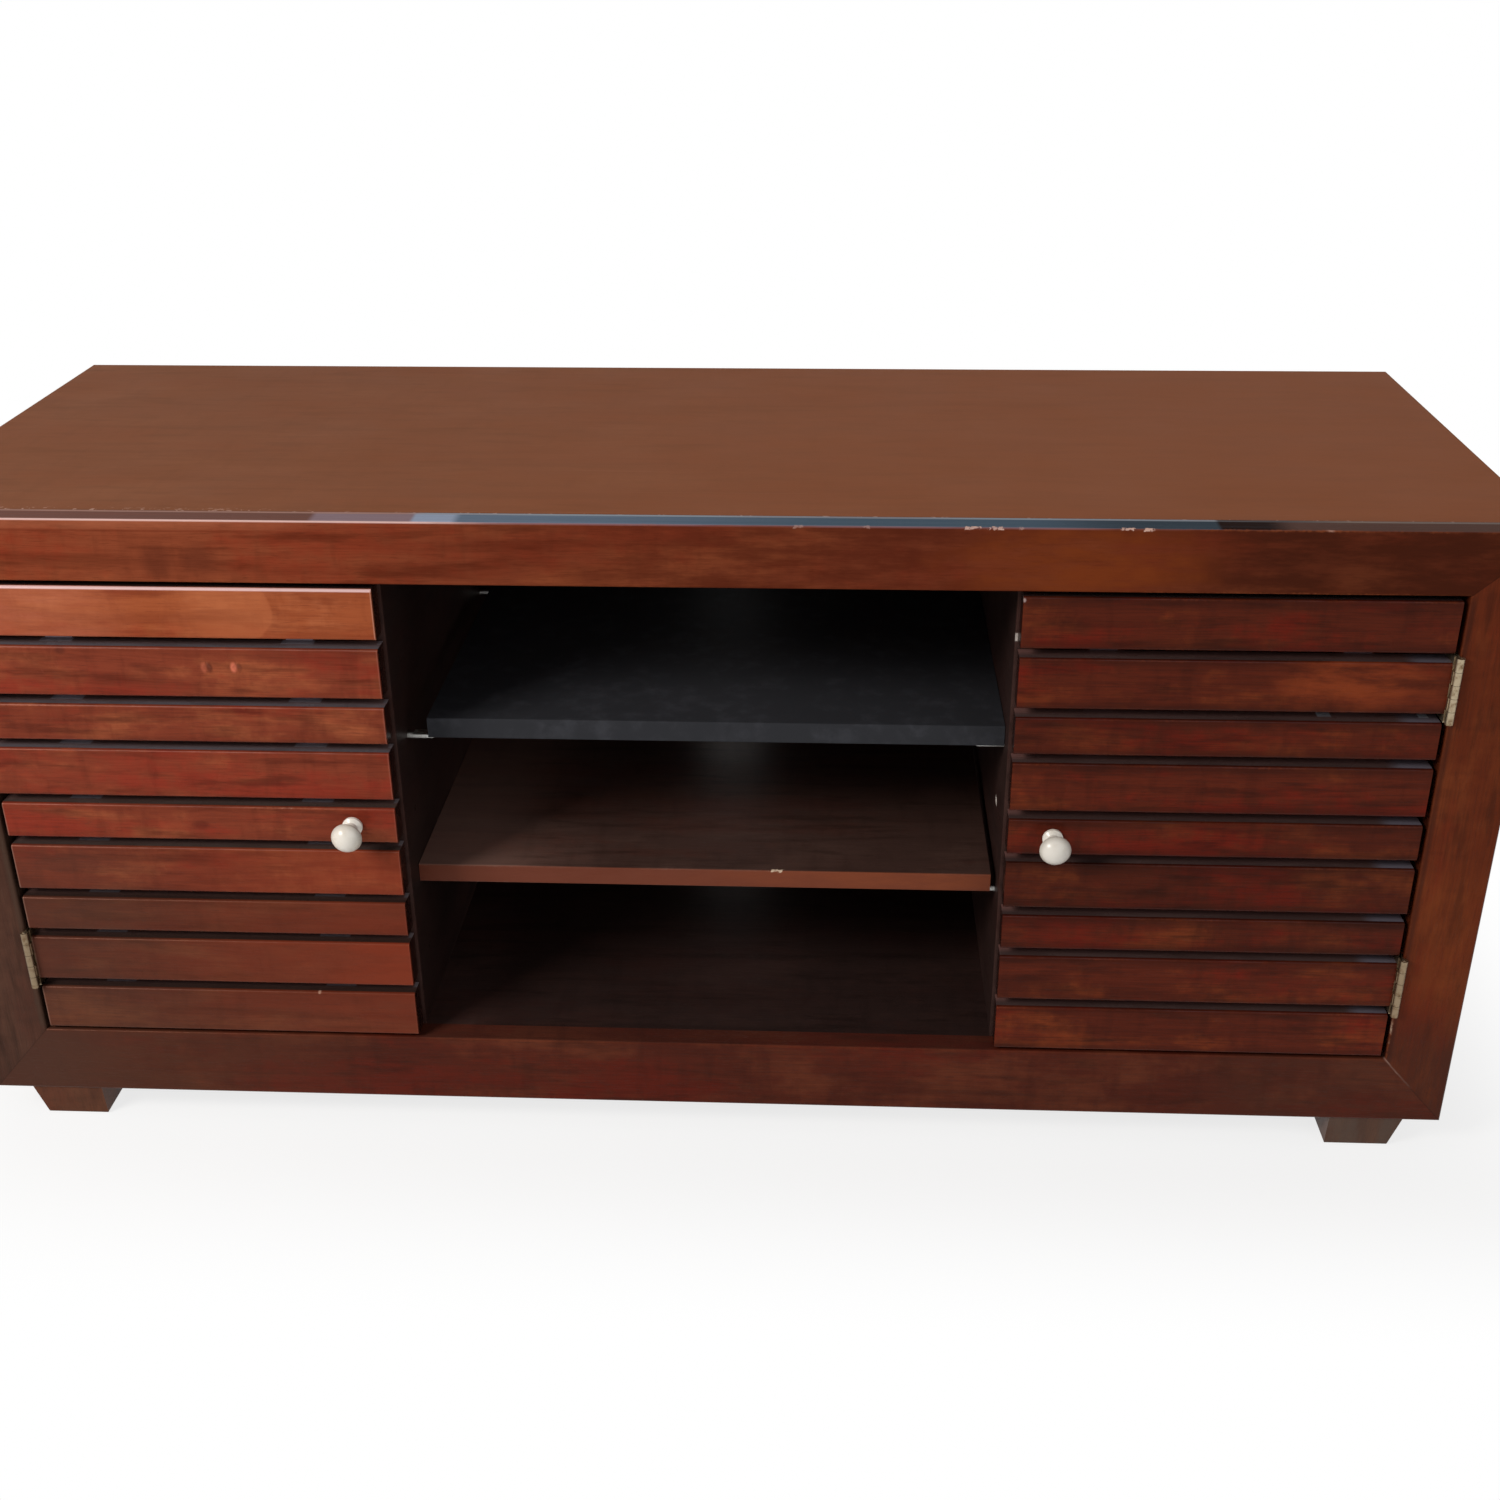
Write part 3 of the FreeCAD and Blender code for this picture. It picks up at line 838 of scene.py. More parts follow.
@dataclass
class FaceFrame:
    """The mitred frame round the doors: two rails and two stiles, worn along the top edge."""

    seam: float = 0.9 * MM
    arris_band: float = 4.0 * MM
    # The dark hairline of a mitre, and the same line rubbed bare
    seam_colour: Colour = (24, 11, 8)
    rubbed_seam: Colour = (176, 140, 126)
    # Painted highlights on the top rail's front edge, where it is lit and where it is dim, and a
    # red streak below it
    lit_edge: Colour = (228, 194, 188)
    dim_edge: Colour = (146, 116, 124)
    red_streak: Colour = (96, 34, 18)
    # A duller patch at the right of the bottom rail, and painted light on its shaded top face in
    # the middle bay
    base_patch: Colour = (72, 42, 31)
    base_top: Colour = (66, 40, 34)
    stile_glow: Colour = (128, 62, 28)
    # Where the lacquer is chipped along the top rail's edge, measured along X
    chips: tuple[Span, ...] = (
        Span(0.1960, 0.0050),
        Span(0.2115, 0.0055),
        Span(0.3045, 0.0048),
        Span(0.3190, 0.0034),
        Span(0.0745, 0.0036, 0.35),
        Span(0.1210, 0.0036, 0.35),
        Span(0.2300, 0.0022, 0.5),
    )
    # A painted reflection on the rail's top face, from the left: where each tone starts, how
    # softly, and its colour
    top_tones: tuple[tuple[float, float, Colour], ...] = (
        (-0.700, 0.010, (108, 75, 67)),
        (-0.274, 0.003, (136, 115, 122)),
        (-0.201, 0.002, (146, 158, 180)),
        (-0.170, 0.004, (95, 110, 128)),
        (0.000, 0.120, (74, 91, 106)),
        (0.270, 0.040, (56, 67, 77)),
        (0.368, 0.002, (32, 10, 1)),
        (0.412, 0.012, (94, 68, 60)),
    )
    # A painted highlight along the top face's rear edge, the same way
    rear_tones: tuple[tuple[float, float, Colour], ...] = (
        (-0.700, 0.010, (160, 123, 111)),
        (-0.200, 0.010, (137, 153, 165)),
        (0.368, 0.002, (40, 26, 14)),
        (0.440, 0.030, (139, 121, 110)),
    )
    # Painted light at the upper left of the top rail, and painted shade towards its middle and
    # right
    rail_glow: Wash = Wash(-0.20, -0.36, (166, 98, 70), 0.45, 0.4)
    rail_washes: tuple[Wash, ...] = (
        Wash(-0.34, 0.06, (82, 34, 21), 0.85, 0.6),
        Wash(0.28, 0.42, (66, 31, 20), 0.85, 0.6),
    )
    # The first mark is the figure's lighter stretch at the right, partly its own grain and partly a
    # painted reflection
    rail_marks: tuple[Mark, ...] = (
        Mark((0.272, 0.509), (0.085, 0.028), (130, 62, 28), 0.62, 0.45, 0.9, 0.3),
        Mark((-0.388, 0.504), (0.011, 0.012), (82, 38, 26), 0.45),
        Mark((-0.358, 0.504), (0.011, 0.012), (82, 38, 26), 0.45),
    )
    base_washes: tuple[Wash, ...] = (
        Wash(-0.22, -0.46, (76, 44, 31), 0.75, 0.5),
        Wash(-0.44, -0.57, (67, 43, 34), 0.8),
    )
    # The right stile is duller near the floor
    stile_washes: tuple[Wash, ...] = (Wash(0.155, 0.085, (66, 35, 26), 0.85, 0.6),)
    # Where the painted shade of the gap beside a door lies on the inner edge of its stile, on Z
    gap_middle: float = 0.2885
    gap_half: float = 0.192
    gap_shades: dict[Side, Colour] = field(default_factory=lambda: {
        Side.LEFT: (62, 50, 41),
        Side.RIGHT: (46, 20, 14),
    })

    def draw_mitres(self, board: Timber) -> None:
        """Draw the dark hairline where the mitres meet, on one board.

        A mitre runs from an outer to an inner corner of the frame. The seam is where the
        distance from the outer side edge equals the distance from the outer top or bottom
        edge, scaled by the ratio of the two boards' widths.

        Args:
            board: the rail or stile.
        """
        shader = board.shader
        stile_low, stile_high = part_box("frame_stile_left")
        for rail in ("frame_rail_top", "frame_rail_bottom"):
            low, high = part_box(rail)
            width = high[Z] - low[Z]
            edge = high[Z] if rail.endswith("top") else low[Z]
            inward = abs(shader.axes[Z] - edge)
            scaled = inward * ((stile_high[X] - stile_low[X]) / width)
            off = abs(scaled + abs(shader.axes[X]) - high[X])
            within = inward.smooth(width + 2 * MM, width)
            line = off.smooth(self.seam, self.seam * 0.3) * within
            board.tint(line, self.seam_colour, 0.35)
            if rail.endswith("bottom"):
                inner = inward.smooth(0.5 * width, 0.75 * width) * shader.axes[X].smooth(0.0, 0.1)
                rubbed = off.smooth(self.seam * 1.5, self.seam * 0.3) * inner * within
                board.gleam(board.uneven(rubbed, 0.3), self.rubbed_seam, 0.6)

    def light_top_face(self, rail: Timber) -> None:
        """Paint a reflection on the rail's narrow top face, tone after tone, with a painted
        highlight along its rear.

        Args:
            rail: the top rail.
        """
        shader = rail.shader
        lines = rail.cloud(LINES).smooth(0.36, 0.62)
        rear = shader.near(Y, rail.high[Y] - 1.3 * MM, 1.5 * MM, 1.0 * MM)
        layers = (
            (self.top_tones, lines * 0.12 + 0.88),
            (self.rear_tones, rear * (lines * 0.5 + 0.45)),
        )
        for tones, share in layers:
            mask = rail.above() * share
            for start, soft, colour in tones:
                rail.tint(mask * shader.axes[X].smooth(start - soft, start + soft), colour, 1.0)

    def dress_top_rail(self) -> Timber:
        """Finish the top rail: painted light at the left and painted shade at the right, with a
        painted highlight along its front edge and a painted reflection on its top face.

        Returns:
            The rail, ready to be dressed.
        """
        rail = Timber("frame_rail_top", RAIL_CHERRY, Grain.ACROSS)
        shader = rail.shader
        rail.front_arrises()
        rail.chips.extend(self.chips)
        height = rail.high[Z]
        fade = shader.axes[X] + (shader.noise(9.0, 3.0, detail=4.0) - 0.5) * 0.16
        upper = (shader.axes[Z] - (height - 9 * MM)).smooth(-3 * MM, 6 * MM)
        rail.wash((self.rail_glow,), fade, upper)
        rail.wash(self.rail_washes, fade)
        streak = shader.near(Z, height - 8.5 * MM, 0.3 * MM, 1.0 * MM)
        rail.tint(streak * shader.near(X, -0.42, 0.09, 0.08), self.red_streak, 0.4)
        rail.mark(self.rail_marks)
        self.light_top_face(rail)
        # Painted highlights along the front edge: bright at the left, dimmer and patchy further
        # right
        edge = rail.arrises[-1].reach(shader).smooth(1.7 * MM, 0.7 * MM)
        rail.gleam(edge * fade.smooth(-0.12, -0.20), self.lit_edge, 0.75)
        between = fade.smooth(-0.20, -0.12) * fade.smooth(0.36, 0.26)
        rail.gleam(rail.uneven(edge * between, 0.5), self.dim_edge, 0.5)
        return rail

    def shade_inner_arris(self, board: Timber, side: Side) -> None:
        """Paint shade on the rounded inner edge of a stile, beside the gap.

        Args:
            board: the stile.
            side: the side that it stands on.
        """
        shader = board.shader
        inner = board.low[X] if side is Side.RIGHT else board.high[X]
        band = abs(shader.axes[X] - inner).smooth(self.arris_band * 1.5, self.arris_band * 0.7)
        inside = shader.near(Z, self.gap_middle, self.gap_half, 0.01)
        board.tint(band * inside, self.gap_shades[side], 0.55)

    def dress(self) -> None:
        """Finish the four pieces of the frame."""
        base = Timber("frame_rail_bottom", BASE_CHERRY, Grain.ACROSS)
        base.front_arrises()
        base.wash(self.base_washes)
        base.tint(base.uneven(base.shader.near(X, 0.51, 0.05, 0.08), 0.4), self.base_patch, 0.5)
        base.tint(base.above() * base.shader.near(X, 0.0, 0.23, 0.01), self.base_top, 0.5)
        boards = [self.dress_top_rail(), base]
        for side, stain in ((Side.LEFT, DULL_CHERRY), (Side.RIGHT, STILE_CHERRY)):
            stile = Timber("frame_stile_" + side.word, stain, Grain.UPRIGHT)
            stile.front_arrises()
            if side is Side.RIGHT:
                glow = stile.uneven(stile.shader.near(Z, 0.20, 0.03, 0.06), 0.3)
                stile.tint(glow, self.stile_glow, 0.45)
                stile.wash(self.stile_washes, stile.shader.axes[Z])
            self.shade_inner_arris(stile, side)
            boards.append(stile)
        for board in boards:
            self.draw_mitres(board)
            board.dress()
            LOG.info("dressed %s", board.node)


@dataclass
class SlatDoor:
    """A slatted door: slats, battens, knob, strike plate, hinge leaves and screws."""

    side: Side
    slats: int = 9
    hinged_slats: tuple[int, int] = (2, 8)
    # How far behind the front plane a slat's shaded faces start
    face: float = 2.6 * MM
    # Painted highlights on the slats' upper edges and free ends: the top slat's, and the others'
    top_edge: Colour = (228, 196, 196)
    top_end: Colour = (196, 140, 118)
    left_edge: Colour = (190, 144, 138)
    left_end: Colour = (150, 92, 78)
    right_edge: Colour = (96, 92, 104)
    # A painted highlight on the ends beside the hinges of the left door, and the first slat that
    # has one
    hinged_end: Colour = (146, 112, 98)
    worn_ends_from: int = 5
    # The slats' top faces: painted light towards the rear, a painted sheen beside the hinges, paler
    # beside the battens, and a painted highlight at the free corner
    rear_dust: dict[Side, Colour] = field(default_factory=lambda: {
        Side.LEFT: (150, 112, 106),
        Side.RIGHT: (140, 98, 92),
    })
    hinge_dust: Colour = (118, 116, 130)
    batten_dust: Colour = (176, 168, 178)
    corner_dust: Colour = (150, 142, 148)
    rubbed_dust: Colour = (200, 200, 210)
    rear_stain: Colour = (70, 36, 26)
    # Painted light on the battens where the gaps let them show, and its strength on each side
    batten_light: Colour = (212, 206, 224)
    batten_shares: dict[Side, float] = field(default_factory=lambda: {
        Side.LEFT: 0.85,
        Side.RIGHT: 0.15,
    })
    # How strong the painted shade is along the slats' long edges
    pooled: dict[Side, float] = field(default_factory=lambda: {
        Side.LEFT: 0.2,
        Side.RIGHT: 0.62,
    })
    # Two knocks in the left door's second slat: where they are, and how strong the painted light
    # and shade show on them. Each has a lit and a shaded side of the same size and colours.
    dents: tuple[tuple[float, float, float, float], ...] = (
        (-0.3639, 0.4200, 0.3, 0.65),
        (-0.3416, 0.4203, 0.75, 0.4),
    )
    dent_radii: tuple[float, float] = (2.2 * MM, 3.6 * MM)
    dent_light: Colour = (214, 116, 90)
    dent_dark: Colour = (60, 20, 17)
    # The top slat's lighter patch: how far it lies above the slat's lower edge, and its look
    patch_rise: float = 24.0 * MM
    patch_wash: Wash = Wash(-0.40, -0.34, (176, 99, 62), 0.45)
    top_slat_washes: tuple[Wash, ...] = (Wash(-0.40, -0.47, (172, 98, 74), 0.5, 0.5),)
    # How light each slat is, from the top one down
    left_gains: tuple[float, ...] = (1.0, 0.99, 0.97, 1.0, 0.97, 0.90)
    right_gains: tuple[float, ...] = (0.99, 1.02, 0.99, 1.06, 0.99, 0.87, 0.94, 1.06, 1.08)
    # The last slat for each colour of the top faces, which are dust with a painted sheen, and for
    # each strength of the painted edge highlights
    left_dust: tuple[tuple[int, Colour], ...] = (
        (1, (44, 34, 34)), (4, (98, 92, 98)), (6, (76, 64, 60)), (9, (54, 40, 36)),
    )
    right_dust: tuple[tuple[int, Colour], ...] = ((1, (44, 34, 34)), (9, (84, 66, 64)))
    edge_gleams: tuple[tuple[int, float], ...] = ((4, 0.5), (6, 0.3), (9, 0.1))
    # The left door's lower slats, and how red their free ends are
    red_ends: dict[int, float] = field(default_factory=lambda: {6: 0.5, 7: 0.35, 8: 0.6, 9: 0.3})
    # Two pale spots on the right door's third slat, seen in the gap: middle and half on X
    rubs: tuple[tuple[float, float], ...] = ((0.461, 4.5 * MM), (0.533, 3.0 * MM))
    marks: dict[tuple[Side, int], tuple[Mark, ...]] = field(default_factory=lambda: {
        (Side.LEFT, 2): (Mark((-0.473, 0.4325), (0.004, 0.003), (64, 26, 22)),),
        (Side.LEFT, 5): (Mark((-0.3875, 0.2866), (0.006, 0.004), (76, 28, 20)),),
        (Side.LEFT, 9): (Mark((-0.313, 0.1320), (0.0011, 0.0011), (190, 150, 128), 0.6),),
        (Side.RIGHT, 1): (Mark((0.2355, 0.4806), (0.0012, 0.0014), (180, 158, 154), 0.7),),
        (Side.RIGHT, 2): (
            Mark((0.478, 0.42138), (0.050, 0.020), (160, 72, 36), 0.5, 0.7, 1.4, 0.2),
        ),
    })

    @property
    def body(self) -> str:
        """The name of the body that the door's pieces move with."""
        return "door_" + self.side.word

    def node(self, part: str) -> str:
        """Return the node's name of one of the door's parts."""
        return f"door_{part}_{self.side.word}"

    def slat_stain(self, number: int) -> Stain:
        """Return the stain of one slat: the doors darken to the right and towards the floor, partly
        in their own stain and partly as painted shade.

        Args:
            number: the slat's number from the top.

        Returns:
            The stain.
        """
        if self.side is Side.RIGHT:
            return RED_CHERRY.lit(self.right_gains[number - 1], f"red_cherry_{number}")
        if number == 1:
            return AMBER_CHERRY
        if number > len(self.left_gains):
            return BROWN_CHERRY.lit(1.04, "low_cherry")
        return CHERRY.lit(self.left_gains[number - 1], f"cherry_{number}")

    def shade_left_slat(self, slat: Timber, number: int) -> None:
        """Lay on a left slat what it alone shows: a glow, two knocks with painted light and shade
        on their sides, or a dull and a red end.

        Args:
            slat: the slat.
            number: its number from the top.
        """
        shader = slat.shader
        if number == 1:
            up = slat.low[Z] + self.patch_rise
            patch = shader.blob((-0.352, up), (0.042, 0.032), 0.03, 0.25)
            slat.wash((self.patch_wash,), within=patch)
            slat.wash(self.top_slat_washes)
        if number == 2:
            for at, up, light, dark in self.dents:
                away = abs(shader.axes[X] - at) + abs(shader.axes[Z] - up) * 0.6
                slat.dents.append(away.smooth(3.8 * MM, 0.6 * MM))
                radii = self.dent_radii
                slat.mark((
                    Mark((at - 2.2 * MM, up), radii, self.dent_light, light, wobble=0.9),
                    Mark((at + 1.8 * MM, up), radii, self.dent_dark, dark, wobble=0.9),
                ))
        if number in self.red_ends:
            slat.wash((
                Wash(-0.50, -0.23, (138, 54, 32), self.red_ends[number], 0.7),
                Wash(-0.38, -0.50, (70, 42, 34), 0.5, 0.5),
            ))

    def light_edges(self, slat: Timber, number: int) -> None:
        """Paint highlights on a slat's upper edge, and on the left door also on its ends.

        Args:
            slat: the slat.
            number: its number from the top.
        """
        shader = slat.shader
        reach = slat.arrises[-1].reach(shader)
        patchy = shader.noise(30.0, slat.shift + 5.5).smooth(0.35, 0.60)
        if self.side is Side.RIGHT:
            slat.gleam(reach.smooth(1.1 * MM, 0.4 * MM) * patchy, self.right_edge, 0.35)
            return
        front = slat.depth().smooth(1.6 * MM, 0.8 * MM)
        free, hinged = (
            abs(shader.axes[X] - end[X]).smooth(1.3 * MM, 0.4 * MM) * front
            for end in (slat.high, slat.low)
        )
        if number == 1:
            slat.gleam(reach.smooth(2.4 * MM, 1.3 * MM), self.top_edge, 0.8)
            slat.gleam(free, self.top_end, 0.5)
        else:
            strength = down_to(self.edge_gleams, number)
            edge = reach.smooth(1.2 * MM, 0.4 * MM) * (patchy * 0.6 + 0.4)
            slat.gleam(edge, self.left_edge, strength)
            slat.gleam(free, self.left_end, strength * 0.7)
        if number >= self.worn_ends_from:
            slat.gleam(hinged * (patchy * 0.5 + 0.5), self.hinged_end, 0.45)

    def dust_top(self, slat: Timber, number: int, behind: Value) -> None:
        """Lay dust with a painted sheen on the top face, which shows in the gap, with painted light
        towards its rear, and make it paler beside the battens.

        Args:
            slat: the slat.
            number: its number from the top.
            behind: the mask of what lies behind the front face.
        """
        shader = slat.shader
        left = self.side is Side.LEFT
        above = behind * slat.above()
        dust = down_to(self.left_dust if left else self.right_dust, number)
        slat.tint(slat.uneven(above, 0.7), dust, 0.9)
        if number == 1:
            return
        # Painted light towards the rear of the top face, which lies in shade inside the gap
        deep = slat.depth().smooth(5 * MM, 14 * MM)
        slat.tint(above * deep, self.rear_dust[self.side], 0.6)
        rear = above * (shader.axes[Y] - slat.high[Y]).smooth(-9 * MM, -6 * MM)
        if not left:
            # A painted sheen beside the hinged end
            hinged = shader.near(X, slat.high[X] - 12 * MM, 8 * MM, 14 * MM)
            slat.tint(above * hinged, self.hinge_dust, 0.6)
            for at, half in self.rubs if number == 3 else ():
                paler_mask = slat.uneven(rear * shader.near(X, at, half, 1 * MM), 0.4)
                slat.tint(paler_mask, self.rubbed_dust, 0.9)
            return
        for place in ("inner", "outer"):
            low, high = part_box(self.node("batten_" + place))
            beside = shader.near(X, (low[X] + high[X]) / 2, (high[X] - low[X]) / 2, 1.5 * MM)
            slat.tint(rear * beside, self.batten_dust, 0.75)
        corner = shader.near(X, slat.high[X], 2.0 * MM, 1.5 * MM)
        slat.tint(rear * corner, self.corner_dust, 0.8)

    def dress_slat(self, number: int) -> None:
        """Finish one slat: bright on its face, with painted shade on the faces inside the gaps.

        Args:
            number: its number from the top.
        """
        slat = Timber(self.node(f"slat_{number}"), self.slat_stain(number), Grain.ACROSS)
        slat.front_arrises()
        slat.edge_shade(self.pooled[self.side])
        if self.side is Side.LEFT:
            self.shade_left_slat(slat, number)
        slat.mark(self.marks.get((self.side, number), ()))
        # Painted shade on every face behind the front face, inside the gaps
        behind = (slat.depth() - self.face).smooth(0.0, 0.6 * MM)
        slat.tint(behind, GAP_SHADE, 0.92)
        self.dust_top(slat, number, behind)
        rear = (slat.shader.axes[Y] - slat.high[Y]).smooth(-0.3 * MM, -0.1 * MM)
        slat.tint(slat.uneven(rear, 0.5), self.rear_stain, 0.9)
        self.light_edges(slat, number)
        slat.dress()

    def dress_batten(self, place: str) -> None:
        """Finish one batten: painted shade in front, with painted light on it where the gaps let it
        show.

        Args:
            place: inner or outer, as the node spells it.
        """
        batten = Timber(self.node("batten_" + place), BROWN_CHERRY, Grain.UPRIGHT)
        centre = (batten.low[X] + batten.high[X]) / 2
        half = (batten.high[X] - batten.low[X]) / 2
        facing = batten.depth().smooth(0.4 * MM, 0.1 * MM)
        facing = facing * batten.shader.near(X, centre, half - 1.6 * MM, 0.6 * MM)
        upper = batten.shader.axes[Z].smooth(0.24, 0.37)
        batten.tint(facing, GAP_SHADE, 0.7)
        batten.tint(facing * upper, self.batten_light, self.batten_shares[self.side])
        batten.dress()

    def dress(self) -> None:
        """Finish the whole door."""
        for number in range(1, self.slats + 1):
            self.dress_slat(number)
        for place in ("inner", "outer"):
            self.dress_batten(place)
        low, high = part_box(self.node("knob"))
        paint(self.node("knob"), ENAMEL.material(((low + high) / 2, (high[X] - low[X]) / 2)))
        paint(self.node("knob_screw"), ZINC.material())
        paint(self.node("strike_plate"), ZINC.material())
        paint(self.node("hinge_leaves"), BRASS.material())
        LOG.info("dressed %s", self.body)


@dataclass
class Carcass:
    """The box behind the face frame, with its shelves, feet and fixed fittings."""

    # Two bare spots on the right partition: one on its front edge and one behind it
    nick_height: float = 0.444
    fleck: tuple[float, float] = (-0.124, 0.276)
    knock: Colour = (214, 204, 196)
    # Painted shade behind the partitions' front edges, and a painted shadow on the floor of the
    # middle bay
    partition_shade: Colour = (20, 14, 13)
    floor_shade: Colour = (22, 15, 14)
    # The top board's scratches, its seam behind the rail, and the flecks of wear beside it
    scratch: Colour = (168, 124, 100)
    seam_colour: Colour = (84, 54, 42)
    seam_wear: Colour = (188, 152, 136)
    # The lower shelf's front edge, and where along it the lacquer is chipped
    shelf_edge: Colour = (106, 55, 40)
    shelf_chip: Span = Span(0.0578, 5.0 * MM)
    top_wash: Wash = Wash(-0.62, 0.62, (146, 86, 55), 0.8, 0.8)
    foot_wash: Wash = Wash(-0.01, 0.0, (92, 80, 72), 0.7, 0.6)
    shelf_edge_wash: Wash = Wash(-0.12, 0.16, (128, 68, 44), 0.8, 0.5)
    # The lower shelf's top has a painted shadow over its middle and right, and painted light at its
    # left
    shelf_top_washes: tuple[Wash, ...] = (
        Wash(-0.19, -0.06, (38, 25, 22), 0.62),
        Wash(-0.12, -0.20, (150, 114, 102), 0.5),
    )

    def dress_top(self) -> None:
        """Finish the top board, with a few fine scratches along it."""
        top = Timber("top_board", TOP, Grain.FLAT)
        shader = top.shader
        scratches = shader.noise((1.6, 420.0, 1.0), 12.0, detail=2.0).smooth(0.70, 0.735)
        gate = shader.noise(6.0, 14.0, detail=1.0).smooth(0.50, 0.62)
        top.tint(scratches * gate, self.scratch, 0.5)
        flecks = shader.noise((260.0, 260.0, 1.0), 15.0, detail=2.0).smooth(0.60, 0.66)
        top.wash((self.top_wash,))
        seam = top.depth().smooth(2.0 * MM, 0.6 * MM)
        top.tint(seam, self.seam_colour, 0.4)
        worn = top.depth().smooth(9.0 * MM, 1.0 * MM) * shader.axes[X].smooth(-0.22, -0.40)
        top.tint(flecks * worn.larger(seam), self.seam_wear, 0.7)
        top.dress()

    def dress_partition(self, side: Side) -> None:
        """Finish one partition, with painted shade behind its front edge, and two knocks on the
        right one.

        Args:
            side: the side that it stands on.
        """
        board = Timber("partition_" + side.word, INSIDE, Grain.DEEP)
        inner = board.low[X] if side is Side.RIGHT else board.high[X]
        board.arrises.append(Arris(Y, board.low[Y], X, inner))
        shader = board.shader
        depth = board.depth()
        shade = depth.smooth(2 * MM, 4 * MM) * depth.smooth(0.20, 0.08)
        board.tint(shade, self.partition_shade, 0.6)
        if side is Side.RIGHT:
            back, height = self.fleck
            edge = board.arrises[0].reach(shader).smooth(2.2 * MM, 1.2 * MM)
            fleck = shader.near(X, inner, 0.5 * MM, 0.5 * MM)
            fleck = fleck * shader.near(Y, back, 4.0 * MM, 2.0 * MM)
            for place, up in ((edge, self.nick_height), (fleck, height)):
                spot = place * shader.near(Z, up, 2.6 * MM, 1.0 * MM)
                board.tint(spot, self.knock, 0.95)
        board.dress()

    def dress_lower_shelf(self) -> None:
        """Finish the lower shelf: dark on top with a painted shadow and painted light, and a redder
        and rubbed front edge.
        """
        shelf = Timber("shelf_lower", SHELF, Grain.ACROSS)
        front = shelf.depth().smooth(1.2 * MM, 0.4 * MM)
        shelf.tint(front, self.shelf_edge, 0.9)
        shelf.wash((self.shelf_edge_wash,), within=front)
        shelf.wash(self.shelf_top_washes, within=shelf.above(0.6 * MM))
        shelf.front_arrises()
        shelf.chips.append(self.shelf_chip)
        shelf.dress()

    def dress(self) -> None:
        """Finish every fixed piece behind the face frame."""
        self.dress_top()
        self.dress_lower_shelf()
        floor = Timber("bottom_board", INSIDE, Grain.FLAT)
        # A painted shadow on the middle bay's floor
        floor.tint(floor.shader.near(X, 0.03, 0.19, 0.06), self.floor_shade, 0.55)
        floor.dress()
        Timber("rear_rail", BARE_PINE, Grain.ACROSS).dress()
        Timber("corner_blocks", BARE_PINE, Grain.FLAT).dress()
        for side in Side:
            Timber("side_panel_" + side.word, SIDE_CHERRY, Grain.DEEP).dress()
            Timber("shelf_behind_door_" + side.word, INSIDE, Grain.FLAT).dress()
            self.dress_partition(side)
            for place in ("front", "rear"):
                foot = Timber(f"foot_{place}_{side.word}", FOOT, Grain.UPRIGHT)
                if side is Side.RIGHT:
                    foot.wash((self.foot_wash,), foot.shader.axes[Z])
                foot.dress()
            paint("hinge_frame_leaves_" + side.word, BRASS.material())
            paint("catch_" + side.word, CATCH_BROWN.material())
        paint("shelf_upper", BLACK_FOIL.material())
        paint("back_panel", HARDBOARD.material())
        paint("shelf_supports", ZINC.material())
        paint("hinge_pins", BRASS.material())
        LOG.info("dressed the carcass")


